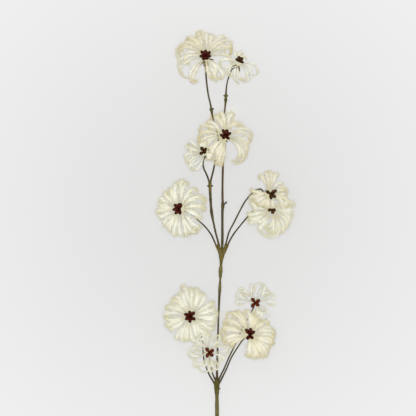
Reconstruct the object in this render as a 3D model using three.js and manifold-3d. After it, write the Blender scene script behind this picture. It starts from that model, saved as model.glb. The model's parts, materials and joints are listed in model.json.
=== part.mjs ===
// A spray of fluffy seed-head blooms on one long stem, lying on its back on the surface.
// Millimetres, +Z up. The stem runs along +Y from its cut end, and the blooms face up.
import * as THREE from 'three';
import { mergeVertices } from 'three/addons/utils/BufferGeometryUtils.js';
import Module from 'manifold-3d';

const wasm = await Module();
wasm.setup();

// Driving dimensions. Every place is measured from the surface and the middle of the stem's cut end.
const OUTLINE_MIDDLE = { x: 9.3, y: 301.5 }; // the middle of the spray's outline, which is its origin
const SEAT_GAP = 0.3; // between a button and the stalk below it, or the seeds above it
const CLEARANCE = 0.4; // between a tail and anything of another piece
const BUTTON = { radius: 4.4, height: 3 };
const RECEPTACLE = { neck: 8, radius: 2 }; // the stalk's swollen end, straight for the neck's length
const SEED = {
  length: 8.8,
  halfWidth: 2.2,
  halfThickness: 1.25,
  rise: 30,
  lengthSpread: 0.06,
  riseSpread: 4,
};
const SEED_HUB = { radius: 1.5 };
const TAIL = {
  rootAt: 1.5,
  layerGap: 0.4,
  rootRadius: 0.42,
  bodyRadius: 1.6,
  widestFrom: 0.5, // share of the length
  taperLength: 0.16, // share of the length
};
const SIDES = { stem: 8, stalk: 5, seed: 4, tail: 3, button: 6 };

// How a tail bends: it rises from the bloom's plane, runs out and curls back under itself.
// The angle falls by bend degrees along the tail, as the power of the way along it.
// The roll turns the plane it curls in to one side or the other.
const CURL = {
  hooked: { bend: 190, power: 2.7, roll: 24, stretches: 4 },
  arched: { bend: 185, power: 2, roll: 20, stretches: 4 },
  looped: { bend: 265, power: 1.9, roll: 62, stretches: 5 },
};
const RISE = { upper: 22, lower: 6, spread: 10 }; // degrees above the bloom's plane at the root
const BEND_SPREAD = 36;
const LEAN_SPREAD = 36; // degrees of roll among the tails of a fan that leans
const SUM_STEPS = 8;

// What a tail tries, in turn, until it is clear of the stem, the seeds and the blooms made before.
const LIFTS = [0, 10, 20];
const TURNS = [0, 4, -4, 8, -8, 13, -13];
const REACHES = [1, 0.92, 0.84, 0.72];

// The main stem from its cut end to the neck of the topmost small bloom: x, y, z and radius.
const CUT_RADIUS = 2.35;
const LYING = CUT_RADIUS * Math.cos(Math.PI / SIDES.stem); // a flat of the stem lies on the surface
const MAIN_STEM = [
  [0.2, 0, LYING, CUT_RADIUS],
  [0.2, 90, LYING, CUT_RADIUS],
  [0.1, 150, LYING, 2.3],
  [0, 160, 2.3, 2.15],
  [-0.1, 168, 2.9, 2.3],
  [-0.1, 172, 3.2, 2.9],
  [-0.1, 178, 3.4, 3.1],
  [0, 182.5, 3.4, 2.2],
  [0, 188, 3.4, 1.35],
  [0.4, 207, 3.6, 1.25],
  [1, 231, 3.9, 1.1],
  [2.3, 269, 4.1, 1.15],
  [2.9, 283, 4.2, 1.5],
  [3.5, 294, 4.4, 1.85],
  [3.9, 303, 4.5, 1.15],
  [4.2, 309, 4.6, 1.9],
  [4.4, 314, 4.6, 2.45],
  [4.8, 320, 4.7, 1.65],
  [5.1, 326, 4.8, 1.9],
  [5.6, 332, 5, 3],
  [6, 338, 5.2, 3.2],
  [6.3, 343, 5.3, 1.5],
  [6.5, 352, 5.6, 1.55],
  [6.5, 372, 6, 1.5],
  [6.7, 387, 6.4, 1.55],
  [7.1, 392.5, 6.6, 2],
  [6.8, 399, 6.9, 1.4],
  [6.7, 417, 7.3, 1.25],
  [7.2, 441, 8.3, 1.2],
  [7.9, 468, 9.9, 1.2],
  [8.6, 495, 12, 1.05],
  [9.7, 511, 13.4, 0.95],
  [10.3, 516.5, 14, 1.2],
  [10.5, 519.5, 14.3, 2.05],
  [10.7, 522.5, 14.6, 1.3],
  [11.2, 533, 15.8, 0.85],
  [12.4, 541, 16.8, 0.8],
  [15.2, 549.8, 18, 0.75],
  [18.6, 556.8, 19.2, 0.75],
];
const SIDE_STUB = [
  [7, 391, 6.6, 1.2],
  [9.2, 394.4, 7, 0.85],
  [10.2, 395.4, 7.2, 0.9],
  [11, 396.2, 7.4, 1.25],
  [11.9, 397, 7.6, 0.7],
];

// Each stalk from where it leaves the stem to the neck of its bloom: x, y, z and radius.
const STALKS = {
  8: [
    [-0.4, 174, 3.3, 1.3],
    [-2.6, 177.6, 3.2, 1.2],
    [-5, 181.6, 3, 1.05],
    [-8.1, 186.6, 2.7, 0.95],
    [-12.3, 196.2, 2.4, 0.9],
    [-15.6, 207.2, 2.2, 0.9],
    [-18, 231.2, 2.2, 0.85],
    [-20.4, 240, 3.2, 0.85],
    [-26.5, 250.5, 6.8, 0.85],
    [-31.2, 256.8, 11, 0.85],
  ],
  9: [
    [0, 176, 3.6, 1.2],
    [-1.6, 181.6, 4.8, 1.1],
    [-4, 187, 6.6, 1],
    [-5.8, 192, 8.6, 0.9],
    [-7.2, 200, 13, 0.85],
    [-8.3, 209, 18.6, 0.85],
  ],
  10: [
    [0.4, 176, 3.6, 1.2],
    [2, 182, 4.6, 1.1],
    [4.2, 187.2, 5.2, 1],
    [7.8, 194.4, 5.6, 0.9],
    [14.2, 209.2, 6.2, 0.85],
    [19.4, 220, 6.8, 0.85],
    [24.7, 231.3, 7.4, 0.85],
    [30.4, 244.6, 6, 0.85],
    [37.2, 257, 8, 0.85],
    [43, 268, 14, 0.85],
    [45.5, 274, 28, 0.85],
  ],
  11: [
    [0.4, 174.5, 3.3, 1.3],
    [3, 179, 3.2, 1.15],
    [6, 184.6, 3, 1],
    [10.6, 194, 2.7, 0.9],
    [17.8, 210.2, 2.4, 0.9],
    [24.6, 221.2, 2.4, 0.85],
    [32, 231.6, 5, 0.85],
    [37.6, 236, 10, 0.85],
  ],
  5: [
    [4.4, 330, 5.2, 1.3],
    [2.2, 338, 5.6, 1.5],
    [-0.2, 343, 5.6, 1.4],
    [-1.6, 346, 5.5, 0.95],
    [-6.5, 356.7, 5.2, 0.9],
    [-15.6, 368.5, 4.8, 0.9],
    [-22.8, 375, 4.8, 0.85],
    [-28.7, 380.1, 6, 0.85],
    [-34.5, 384.4, 9.4, 0.85],
    [-39.6, 387.4, 14, 0.85],
  ],
  6: [
    [6, 330, 5.4, 1.3],
    [8.6, 338, 7.2, 1.4],
    [10.4, 345, 8.8, 1.3],
    [11.4, 349, 9.6, 0.95],
    [14.3, 360, 12.2, 0.9],
    [20.9, 373, 17, 0.9],
    [27.4, 386, 23, 0.85],
    [34.4, 398.4, 30, 0.85],
    [40.3, 405.6, 35.5, 0.85],
    [46.2, 410.8, 39.6, 0.85],
    [52.6, 412, 42.8, 0.9],
  ],
  7: [
    [6.6, 330, 5, 1.3],
    [9.4, 337, 5.2, 1.5],
    [12.2, 343.4, 5.4, 1.4],
    [13.8, 347, 5.4, 0.95],
    [19.6, 357.4, 5.4, 0.9],
    [28.7, 369.2, 5.6, 0.9],
    [35.8, 377.6, 6.2, 0.95],
    [42.4, 384.8, 7.6, 0.85],
    [51.6, 391, 10.6, 0.85],
    [60.2, 392.4, 14.6, 0.85],
  ],
  fork: [
    [5.2, 330, 5.6, 1.3],
    [3.6, 338, 7.4, 1.5],
    [2.2, 345, 8.6, 1.4],
    [1.4, 349, 9.2, 1.15],
    [-0.6, 356.1, 10.2, 1.1],
    [-3.8, 370.4, 12.6, 1.15],
    [-6.5, 384.8, 15, 1.75],
    [-7.2, 392, 16.2, 1.35],
    [-7.8, 401.6, 17.4, 1.5],
    [-8.3, 413, 19.2, 1.75],
    [-8.4, 419, 20, 2],
  ],
  4: [
    [-8.4, 417, 19.8, 1.2],
    [-10.4, 424.4, 21.6, 1],
    [-13.6, 432.2, 26, 0.95],
    [-15.6, 436.4, 28.6, 0.95],
    [-16.7, 442.4, 32, 0.95],
    [-15.9, 448.6, 35.8, 0.95],
  ],
  1: [
    [-8.4, 417, 19.8, 1.2],
    [-6.8, 425, 20.4, 1],
    [-4.8, 432.8, 20.4, 0.95],
    [-1.7, 447.4, 19, 0.95],
    [1.6, 461.4, 17.6, 0.95],
    [1.9, 470, 17.2, 0.95],
    [0.6, 478.4, 17.2, 0.95],
    [-2.6, 489.7, 17.8, 0.95],
    [-5.4, 500, 18.4, 0.95],
    [-6.5, 506.5, 18.8, 1.6],
    [-7.2, 511, 19, 1],
    [-10.3, 525.2, 19.4, 0.95],
    [-12.2, 538.4, 19.8, 0.95],
    [-13.2, 549.2, 20.8, 0.95],
    [-13.7, 558.8, 23, 0.95],
  ],
  3: [
    [7.2, 441, 8.4, 1],
    [7.9, 446, 10, 0.95],
    [9.2, 456.8, 14.6, 0.95],
    [9.6, 465.5, 18.6, 0.95],
  ],
};

// The blooms, in the order that they are made. Each has the middle of its button, the way it faces,
// the azimuths of its seeds, and its tails in fans: from and to azimuth, how many, and their reach
// from and to, seen from above. A fan that leans has its roll last. Azimuths are in degrees from
// +X towards +Y.
const BLOOMS = [
  {
    number: 8,
    at: [-32.3, 259.4, 24],
    facing: [0, 0, 1],
    curl: 'hooked',
    seeds: [95, 47, -30, -90, 212, 153],
    fans: [
      [16, 34, 3, 32, 32],
      [48, 100, 7, 31, 36, -12],
      [106, 170, 6, 30, 30, -28],
      [180, 216, 5, 30, 30],
      [233, 277, 5, 30, 29],
      [286, 298, 2, 24, 24],
      [308, 366, 7, 30, 32],
    ],
  },
  {
    number: 11,
    at: [39, 236.4, 25],
    facing: [0, 0.3, 0.95],
    curl: 'hooked',
    seeds: [129, 78, 27, -54, 247],
    fans: [
      [92, 120, 4, 28, 33.5, -22],
      [128, 167, 5, 34.8, 34.6, -24],
      [178, 198, 3, 31, 32],
      [202, 208, 1, 24, 24],
      [46, 88, 4, 21, 27, 12],
      [26, 36, 2, 27, 27.4, 24],
      [1, 12, 2, 28.5, 28.5, 20],
      [-31, -7, 4, 27.5, 28.5, 12],
      [-51, -43, 2, 31.5, 32],
      [-78, -58, 4, 28.4, 30.2],
      [-94, -86, 2, 25.5, 25.5],
    ],
  },
  {
    number: 5,
    at: [-43.3, 388.4, 27],
    facing: [-0.4, 0, 0.9],
    curl: 'hooked',
    seeds: [85, 132, 187, 237, 291, 62],
    fans: [
      [-28, 70, 8, 27, 30, 34],
      [80, 98, 3, 33, 33],
      [106, 137, 4, 29, 26],
      [148, 172, 3, 27, 27],
      [183, 205, 3, 28, 28],
      [213, 268, 7, 28, 32],
      [278, 320, 5, 33, 33],
    ],
  },
  {
    number: 7,
    at: [65.4, 388.6, 27],
    facing: [0.05, -0.35, 0.93],
    curl: 'arched',
    seeds: [12, 172, -60],
    seedScale: 0.62,
    fans: [
      [140, 150, 1, 26, 26],
      [165, 180, 3, 25.5, 25.5],
      [194, 206, 3, 27.5, 28],
      [212, 226, 3, 30.7, 30.7],
      [240, 250, 2, 29, 29],
      [264, 280, 3, 28.6, 28.6, 40],
      [-72, -46, 4, 30, 28.6, 60],
      [-38, -16, 3, 26, 25, 65],
      [-6, 10, 3, 26, 26, 40],
    ],
  },
  {
    number: 3,
    at: [9.7, 474.2, 30],
    facing: [0.1, 0.5, 0.86],
    curl: 'arched',
    seeds: [122, 73, 15, -55, 191, 236],
    fans: [
      [72, 98, 6, 30, 30],
      [52, 64, 2, 22, 22, 50],
      [102, 126, 4, 27, 29],
      [148, 200, 6, 31, 31, -26],
      [213, 237, 4, 31, 31],
      [245, 262, 4, 29, 36],
      [-50, 18, 7, 29.5, 30.5, 56],
    ],
  },
  {
    number: 1,
    at: [-13.8, 569.6, 34],
    facing: [0, 0.45, 0.9],
    curl: 'arched',
    seeds: [90, 138, 34, 194, -15, 246, 294],
    fans: [
      [82, 102, 3, 31, 31],
      [68, 80, 2, 29, 29],
      [14, 68, 7, 31, 34, 24],
      [114, 146, 5, 28, 35, -24],
      [146, 190, 5, 30.5, 31, -32],
      [222, 236, 2, 31, 31, -18],
      [276, 286, 1, 27, 27, -20],
      [294, 328, 3, 28, 31, 8],
    ],
  },
  {
    number: 2,
    at: [26, 563.6, 27],
    facing: [0.25, 0.6, 0.76],
    curl: 'arched',
    seeds: [108, 43, 177, -42],
    seedScale: 0.76,
    fans: [
      [-48, -34, 3, 24, 24, 80],
      [-14, -4, 1, 16, 16, 80],
      [250, 264, 2, 24.5, 24.5, -50],
      [70, 110, 3, 13, 13, 60],
      [158, 172, 2, 22.8, 22.8, -85],
      [203, 217, 2, 20, 20, -85],
    ],
  },
  {
    number: 9,
    at: [-9.6, 216.8, 31],
    facing: [0, 0, 1],
    curl: 'looped',
    seeds: [125, 29, -43, 244],
    seedScale: 0.9,
    fans: [
      [190, 201, 2, 22, 21.5],
      [213, 219, 1, 24, 24],
      [239, 244, 2, 25.5, 25],
      [262, 268, 2, 24, 24],
      [282, 290, 2, 24, 23],
      [-46, -34, 2, 19, 19],
      [0, 12, 2, 23, 23],
      [44, 58, 2, 23, 22],
      [80, 106, 3, 20, 23],
      [135, 160, 4, 23, 24],
    ],
  },
  {
    number: 4,
    at: [-14.3, 456.2, 46],
    facing: [-0.45, 0.25, 0.85],
    curl: 'arched',
    seeds: [112, 33, -30, 231],
    seedScale: 0.75,
    fans: [
      [136, 152, 3, 20.6, 21],
      [160, 174, 3, 23, 24],
      [186, 206, 4, 25.5, 25.5],
      [224, 232, 2, 25, 25, 75],
      [86, 112, 3, 12, 11],
      [-50, -30, 2, 9.5, 9.5],
    ],
  },
  {
    number: 6,
    at: [61.8, 406.8, 54],
    facing: [0.5, 0.08, 0.86],
    curl: 'arched',
    seeds: [32, -47, 259, 165],
    fans: [
      [64, 110, 6, 26, 24.5, 22],
      [244, 300, 3, 15, 16],
      [30, 44, 2, 22, 20, 45],
      [-6, 6, 2, 21, 21],
      [-20, -12, 2, 22.5, 22.5],
      [-28, -20, 3, 28, 28, 20],
      [168, 182, 3, 23.5, 23.5],
      [200, 214, 2, 21, 21],
      [230, 244, 2, 18.6, 18.6],
    ],
  },
  {
    number: 10,
    at: [45.4, 276.6, 52],
    facing: [0, 0, 1],
    curl: 'looped',
    seeds: [129, 31, -38, 233],
    seedScale: 0.88,
    fans: [
      [-2, 10, 2, 23.6, 23.6],
      [41, 61, 3, 22, 22],
      [96, 106, 2, 21.4, 21.4],
      [125, 135, 2, 22.8, 22.8],
      [159, 167, 2, 23.4, 23.4],
      [-37, -29, 1, 23.2, 23.2, 85],
      [-78, -50, 4, 16, 17],
    ],
  },
];

const radians = THREE.MathUtils.degToRad;
const lerp = THREE.MathUtils.lerp;
const vector = ([x, y, z]) => new THREE.Vector3(x, y, z);
const bloomNode = (kind, bloom) => `${kind}_${String(bloom.number).padStart(2, '0')}`;

// An even scatter between -1 and 1: the multiples of an irrational number, less their whole parts.
const SCATTER = { azimuth: 0.618034, reach: 0.754878, rise: 0.569840, bend: 0.819173, roll: 0.671044 };
function scatter(step, count) {
  return 2 * ((count * step) % 1) - 1;
}

// Turns a closed three.js shape into a solid. Faces that a pointed end shrinks away are dropped.
function solidOf(geometry) {
  geometry.deleteAttribute('normal');
  geometry.deleteAttribute('uv');
  const merged = mergeVertices(geometry);
  const corners = merged.index.array;
  const kept = [];
  for (let i = 0; i < corners.length; i += 3) {
    const [a, b, c] = [corners[i], corners[i + 1], corners[i + 2]];
    if (a !== b && b !== c && c !== a) kept.push(a, b, c);
  }
  return new wasm.Manifold(
    new wasm.Mesh({
      numProp: 3,
      vertProperties: merged.attributes.position.array,
      triVerts: Uint32Array.from(kept),
    }),
  );
}

function meshOf(name, solid, material) {
  const { vertProperties, triVerts } = solid.getMesh();
  const geometry = new THREE.BufferGeometry();
  geometry.setAttribute('position', new THREE.BufferAttribute(Float32Array.from(vertProperties), 3));
  geometry.setIndex(new THREE.BufferAttribute(Uint32Array.from(triVerts), 1));
  geometry.computeVertexNormals();
  const mesh = new THREE.Mesh(geometry, material);
  mesh.name = name;
  return mesh;
}

const joined = (solids) => solids.reduce((whole, next) => whole.add(next));

// A bar whose rings stand on the stations, square to the way between them. The side vector lies
// across the first ring and is carried along the bar without a twist. A bar may be wider that way.
function bar(stations, sides, side, widening = 1) {
  const last = stations.length - 1;
  const half = Math.PI / sides;
  const turn = sides === SIDES.tail || sides === SIDES.seed ? 0 : half;
  const geometry = new THREE.CylinderGeometry(1, 1, 1, sides, last, false, turn);
  const across = side.clone();
  const frames = stations.map(({ at, radius }, i) => {
    const before = stations[Math.max(i - 1, 0)].at;
    const after = stations[Math.min(i + 1, last)].at;
    const along = after.clone().sub(before).normalize();
    across.addScaledVector(along, -across.dot(along)).normalize();
    return { at, radius, across: across.clone(), up: across.clone().cross(along) };
  });
  const position = geometry.attributes.position;
  for (let i = 0; i < position.count; i += 1) {
    const frame = frames[Math.round((position.getY(i) + 0.5) * last)];
    const place = frame.at.clone();
    place.addScaledVector(frame.across, widening * frame.radius * position.getX(i));
    place.addScaledVector(frame.up, frame.radius * position.getZ(i));
    position.setXYZ(i, place.x, place.y, place.z);
  }
  return solidOf(geometry);
}

const stemStations = (points) => points.map(([x, y, z, radius]) => ({ at: vector([x, y, z]), radius }));

function stemBar(stations, sides) {
  const along = stations[1].at.clone().sub(stations[0].at);
  return bar(stations, sides, along.cross(new THREE.Vector3(0, 0, 1)).normalize());
}

// The straight neck and swollen receptacle that carry a bloom, as points along its axis.
function receptaclePoints(bloom) {
  const facing = vector(bloom.facing).normalize();
  const top = BUTTON.height / 2 + SEAT_GAP;
  const profile = [
    [RECEPTACLE.neck, 0.9],
    [top + 2.6, 1.1],
    [top + 1.1, RECEPTACLE.radius],
    [top, 0.85 * RECEPTACLE.radius],
  ];
  return profile.map(([below, radius]) => {
    const place = vector(bloom.at).addScaledVector(facing, -below);
    return [place.x, place.y, place.z, radius];
  });
}

// Level with the bloom's plane and seen from above at this azimuth. It is longer than 1 where the
// plane tilts, so that its length seen from above stays 1.
function outward(bloom, azimuth) {
  const x = Math.cos(radians(azimuth));
  const y = Math.sin(radians(azimuth));
  const [a, b, c] = bloom.facing;
  return new THREE.Vector3(x, y, -(a * x + b * y) / c);
}

// The seeds: pointed, flattened spindles that spread from a small hub above the button.
function seedBars(bloom) {
  const facing = vector(bloom.facing).normalize();
  const hub = vector(bloom.at).addScaledVector(facing, BUTTON.height / 2 + SEAT_GAP + SEED_HUB.radius);
  const profile = [
    [0.08, 0.4],
    [0.42, 1],
    [0.75, 0.75],
    [1, 0],
  ];
  const spindles = bloom.seeds.map((azimuth, i) => {
    const count = i + 1 + 7 * bloom.number;
    const size = bloom.seedScale ?? 1;
    const length = size * SEED.length * (1 + SEED.lengthSpread * scatter(SCATTER.reach, count));
    const rise = radians(SEED.rise + SEED.riseSpread * scatter(SCATTER.rise, count));
    const way = outward(bloom, azimuth).normalize().multiplyScalar(Math.cos(rise));
    way.addScaledVector(facing, Math.sin(rise));
    return profile.map(([along, width]) => ({
      at: hub.clone().addScaledVector(way, along * length),
      radius: width * SEED.halfThickness,
    }));
  });
  return { hub, facing, spindles };
}

function seedSolid({ hub, facing, spindles }) {
  const ball = new THREE.SphereGeometry(SEED_HUB.radius, SIDES.button, 3).translate(hub.x, hub.y, hub.z);
  const side = (stations) => stations[1].at.clone().sub(stations[0].at).cross(facing).normalize();
  const flattened = SEED.halfWidth / SEED.halfThickness;
  return joined([solidOf(ball), ...spindles.map((s) => bar(s, SIDES.seed, side(s), flattened))]);
}

function buttonSolid(bloom) {
  const ball = new THREE.SphereGeometry(BUTTON.radius, SIDES.button, 4);
  const standing = new THREE.Vector3(0, 1, 0);
  ball.scale(1, BUTTON.height / 2 / BUTTON.radius, 1);
  ball.applyQuaternion(
    new THREE.Quaternion().setFromUnitVectors(standing, vector(bloom.facing).normalize()),
  );
  return solidOf(ball.translate(...bloom.at));
}

// The plane that a tail curls in: level runs outward from its bloom and up is the side it rises to.
function tailPlane(bloom, tail) {
  const facing = vector(bloom.facing).normalize();
  const level = outward(bloom, tail.azimuth).normalize();
  const lateral = facing.clone().cross(level);
  const up = facing.clone().multiplyScalar(Math.cos(radians(tail.roll)));
  up.addScaledVector(lateral, Math.sin(radians(tail.roll)));
  return { facing, level, up };
}

// A tail's middle line at length 1. The angle above level is summed in small steps between stations.
function tailShape(bloom, tail) {
  const { power, stretches } = CURL[bloom.curl];
  const { level, up } = tailPlane(bloom, tail);
  const shape = [new THREE.Vector3()];
  for (let k = 1; k <= stretches; k += 1) {
    const from = ((k - 1) / stretches) ** (1 / power);
    const to = (k / stretches) ** (1 / power);
    const step = (to - from) / SUM_STEPS;
    const next = shape[k - 1].clone();
    for (let j = 0; j < SUM_STEPS; j += 1) {
      const angle = radians(tail.rise - tail.bend * (from + (j + 0.5) * step) ** power);
      next.addScaledVector(level, Math.cos(angle) * step);
      next.addScaledVector(up, Math.sin(angle) * step);
    }
    shape.push(next);
  }
  return shape;
}

// One tail as stations, drawn to the length that gives its reach as seen from above. It widens
// from its root and tapers to a point, and what would go below the surface lies on it.
function tailStations(bloom, tail) {
  const { power, stretches } = CURL[bloom.curl];
  const { facing, level } = tailPlane(bloom, tail);
  const layer = tail.upper ? TAIL.layerGap / 2 : -TAIL.layerGap / 2;
  const root = vector(bloom.at).addScaledVector(level, TAIL.rootAt).addScaledVector(facing, layer);
  const shape = tailShape(bloom, tail);
  const way = outward(bloom, tail.azimuth);
  const furthest = Math.max(...shape.map((p) => p.x * way.x + p.y * way.y));
  const length = (tail.reach - TAIL.rootAt) / furthest;
  return shape.map((p, k) => {
    const along = (k / stretches) ** (1 / power);
    const widening = Math.min(1, along / TAIL.widestFrom);
    const tapering = Math.min(1, (1 - along) / TAIL.taperLength);
    const at = p.multiplyScalar(length).add(root);
    at.z = Math.max(at.z, TAIL.bodyRadius);
    return { at, radius: tapering * lerp(TAIL.rootRadius, TAIL.bodyRadius, widening) };
  });
}

function tailSolid(bloom, tail, stations) {
  const { level, up } = tailPlane(bloom, tail);
  return bar(stations, SIDES.tail, level.cross(up));
}

// The stretches of a bar, each with its greatest radius and the bloom that it belongs to.
function stretchesOf(stations, number) {
  return stations.slice(1).map((station, i) => ({
    line: new THREE.Line3(stations[i].at, station.at),
    radius: Math.max(stations[i].radius, station.radius),
    number,
  }));
}

// Whether a tail keeps its clearance. Its own stalk and button meet it only at its first stretch.
function isClear(stations, bloom, others, clearance) {
  return stretchesOf(stations, bloom.number).every((mine, k) =>
    others.every((other) => {
      if (k === 0 && other.number === bloom.number) return true;
      const least = mine.radius + other.radius + clearance;
      return mine.line.distanceSqToLine3(other.line) > least * least;
    }),
  );
}

// Every tail that a bloom should have, upper and lower ones in turn round it.
function wantedTails(bloom) {
  const { bend, roll } = CURL[bloom.curl];
  const tails = [];
  for (const [from, to, many, reachFrom, reachTo, lean] of bloom.fans) {
    for (let i = 0; i < many; i += 1) {
      const count = tails.length + 1 + 7 * bloom.number;
      const along = (i + 0.5) / many;
      const upper = tails.length % 2 === 0;
      tails.push({
        upper,
        azimuth: lerp(from, to, along) + 2.5 * scatter(SCATTER.azimuth, count),
        reach: lerp(reachFrom, reachTo, along) * (1 + 0.05 * scatter(SCATTER.reach, count)),
        rise: (upper ? RISE.upper : RISE.lower) + (RISE.spread / 2) * scatter(SCATTER.rise, count),
        bend: bend + (BEND_SPREAD / 2) * scatter(SCATTER.bend, count),
        roll:
          lean === undefined
            ? roll * scatter(SCATTER.roll, count)
            : lean + (LEAN_SPREAD / 2) * scatter(SCATTER.roll, count),
      });
    }
  }
  return tails;
}

// The first way to lay a tail that is clear of all others, or nothing where none is. A way that
// also stands free of the tails beside it is taken first.
function laidTail(bloom, wanted, others, beside) {
  let crossing = null;
  for (const lift of LIFTS) {
    for (const turn of TURNS) {
      for (const share of REACHES) {
        const tail = {
          ...wanted,
          rise: wanted.rise + lift,
          azimuth: wanted.azimuth + turn,
          reach: wanted.reach * share,
        };
        const laid = { tail, stations: tailStations(bloom, tail) };
        if (isClear(laid.stations, bloom, others, CLEARANCE)) {
          if (isClear(laid.stations, bloom, beside, CLEARANCE / 4)) return laid;
          crossing ??= laid;
        }
      }
    }
  }
  return crossing;
}

// The stem: one grown piece with its stub, its fork and all its stalks.
function stemNode(stems) {
  const material = new THREE.MeshStandardMaterial({ color: 0x6f6a35, roughness: 0.7, metalness: 0 });
  const solids = stems.map(({ stations, sides }) => stemBar(stations, sides));
  return meshOf('stem', joined(solids), material);
}

function seedNode(bloom, seeds) {
  const material = new THREE.MeshStandardMaterial({ color: 0x4a1510, roughness: 0.35, metalness: 0 });
  return meshOf(bloomNode('seeds', bloom), seedSolid(seeds), material);
}

function tailNode(bloom, others) {
  const material = new THREE.MeshStandardMaterial({ color: 0xe8e3c8, roughness: 0.9, metalness: 0 });
  const solids = [buttonSolid(bloom)];
  const beside = [];
  for (const wanted of wantedTails(bloom)) {
    const laid = laidTail(bloom, wanted, others, beside);
    if (laid) {
      solids.push(tailSolid(bloom, laid.tail, laid.stations));
      beside.push(...stretchesOf(laid.stations, bloom.number));
    }
  }
  for (const stretch of beside) others.push({ ...stretch, number: 0 });
  return meshOf(bloomNode('tails', bloom), joined(solids), material);
}

function spray() {
  const byNumber = new Map(BLOOMS.map((bloom) => [bloom.number, bloom]));
  const stems = [
    { points: [...MAIN_STEM, ...receptaclePoints(byNumber.get(2))], sides: SIDES.stem, number: 2 },
    { points: SIDE_STUB, sides: SIDES.stalk, number: 0 },
  ];
  for (const [name, points] of Object.entries(STALKS)) {
    const bloom = byNumber.get(Number(name));
    const end = bloom ? receptaclePoints(bloom) : [];
    stems.push({ points: [...points, ...end], sides: SIDES.stalk, number: bloom ? bloom.number : 0 });
  }
  for (const stem of stems) stem.stations = stemStations(stem.points);

  const seeds = new Map(BLOOMS.map((bloom) => [bloom.number, seedBars(bloom)]));
  const others = stems.flatMap(({ stations, number }) => stretchesOf(stations, number));
  for (const bloom of BLOOMS) {
    const middle = vector(bloom.at);
    others.push({ line: new THREE.Line3(middle, middle), radius: BUTTON.radius, number: bloom.number });
    for (const spindle of seeds.get(bloom.number).spindles) others.push(...stretchesOf(spindle, 0));
  }

  const group = new THREE.Group();
  group.add(stemNode(stems));
  for (const bloom of BLOOMS) {
    group.add(seedNode(bloom, seeds.get(bloom.number)), tailNode(bloom, others));
  }
  group.position.set(-OUTLINE_MIDDLE.x, -OUTLINE_MIDDLE.y, 0);
  return group;
}

export default spray();
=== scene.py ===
"""A spray of fluffy seed-head blooms on one long stem, cut and lying on its back.

Eleven blooms stand on thin stalks that leave the stem at a lower joint, an upper joint and a
fork. Each bloom is a whorl of feathery tails, which arch out and curl under, round a dark star
of seeds. Lengths are in millimetres, and places are measured from the surface that the spray
lies on and from the middle of the stem's cut end. Surface.made moves them to the model's frame,
in metres.
"""

import json
import logging
from collections.abc import Sequence
from dataclasses import dataclass, replace
from enum import Enum

import bpy
import numpy as np
from numpy.typing import NDArray
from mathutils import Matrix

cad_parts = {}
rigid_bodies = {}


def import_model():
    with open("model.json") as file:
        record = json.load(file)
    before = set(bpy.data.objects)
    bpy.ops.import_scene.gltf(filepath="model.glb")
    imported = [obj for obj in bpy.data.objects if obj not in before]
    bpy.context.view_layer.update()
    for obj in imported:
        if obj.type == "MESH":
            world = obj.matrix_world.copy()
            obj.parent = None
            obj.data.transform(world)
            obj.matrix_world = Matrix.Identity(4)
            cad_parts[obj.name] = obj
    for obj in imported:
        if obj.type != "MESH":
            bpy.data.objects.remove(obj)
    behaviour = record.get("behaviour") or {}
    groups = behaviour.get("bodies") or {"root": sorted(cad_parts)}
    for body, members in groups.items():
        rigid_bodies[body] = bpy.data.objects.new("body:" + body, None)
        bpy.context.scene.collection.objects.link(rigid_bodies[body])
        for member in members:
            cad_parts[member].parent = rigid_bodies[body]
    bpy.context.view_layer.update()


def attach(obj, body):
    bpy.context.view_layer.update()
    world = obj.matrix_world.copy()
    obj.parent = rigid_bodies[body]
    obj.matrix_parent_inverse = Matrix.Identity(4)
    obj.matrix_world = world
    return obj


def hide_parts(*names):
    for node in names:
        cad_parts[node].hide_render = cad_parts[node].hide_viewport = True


Floats = NDArray[np.float64]
Ints = NDArray[np.int64]
Socket = bpy.types.NodeSocket
log = logging.getLogger("spray")

MM = 0.001
OUTLINE_MIDDLE = np.array([9.3, 301.5, 0.0])  # the middle of the spray's outline, its origin
BODY = "root"
REST_HEIGHT = 0.03  # what would sink into the surface lies this little above it
HAIR_MAP = "OFBake"  # along each tail by along each hair, shared by all hairs of a tail
TAIL_BANDS = 44  # the hair map's bands, one for each tail of a bloom and one for its crown
GRAIN_MAP = "grain"  # girth by length, one unit for each GRAIN_UNIT
GRAIN_UNIT = 10.0
TONE = "tone"  # the colour of the bark at each point
GOLDEN_ANGLE = np.pi * (3 - 5**0.5)  # from one hair to the next, so that none stand in rows
WHITE = "#ffffff"
MULTIPLY = {"data_type": "RGBA", "blend_type": "MULTIPLY"}
OVERLAY = {"data_type": "RGBA", "blend_type": "OVERLAY"}
FACTOR, LOWER, UPPER = 0, 6, 7  # the inputs of a mix of two colours
TO_MIN, TO_MAX = 3, 4  # the results of a map range at 0 and at 1


def unit(vectors: Floats) -> Floats:
    """Vectors scaled to length 1."""
    return vectors / np.linalg.norm(vectors, axis=-1, keepdims=True)


def blend(low: Floats | float, high: Floats | float, share: Floats) -> Floats:
    """low + (high - low) x share."""
    return low + (high - low) * share


def turns(many: int) -> Floats:
    """The angles of this many even steps round a circle."""
    return np.arange(many) / many * 2 * np.pi


def sampled(at: Floats, places: Floats, rows: Floats) -> Floats:
    """Rows of three numbers, each straight between those given at these places."""
    return np.stack([np.interp(at, places, rows[:, k]) for k in range(3)], -1)


def smooth_step(start: float, end: float, value: Floats) -> Floats:
    """0 before start, 1 after end, and 3t^2 - 2t^3 between them."""
    t = np.clip((value - start) / (end - start), 0, 1)
    return t * t * (3 - 2 * t)


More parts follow.
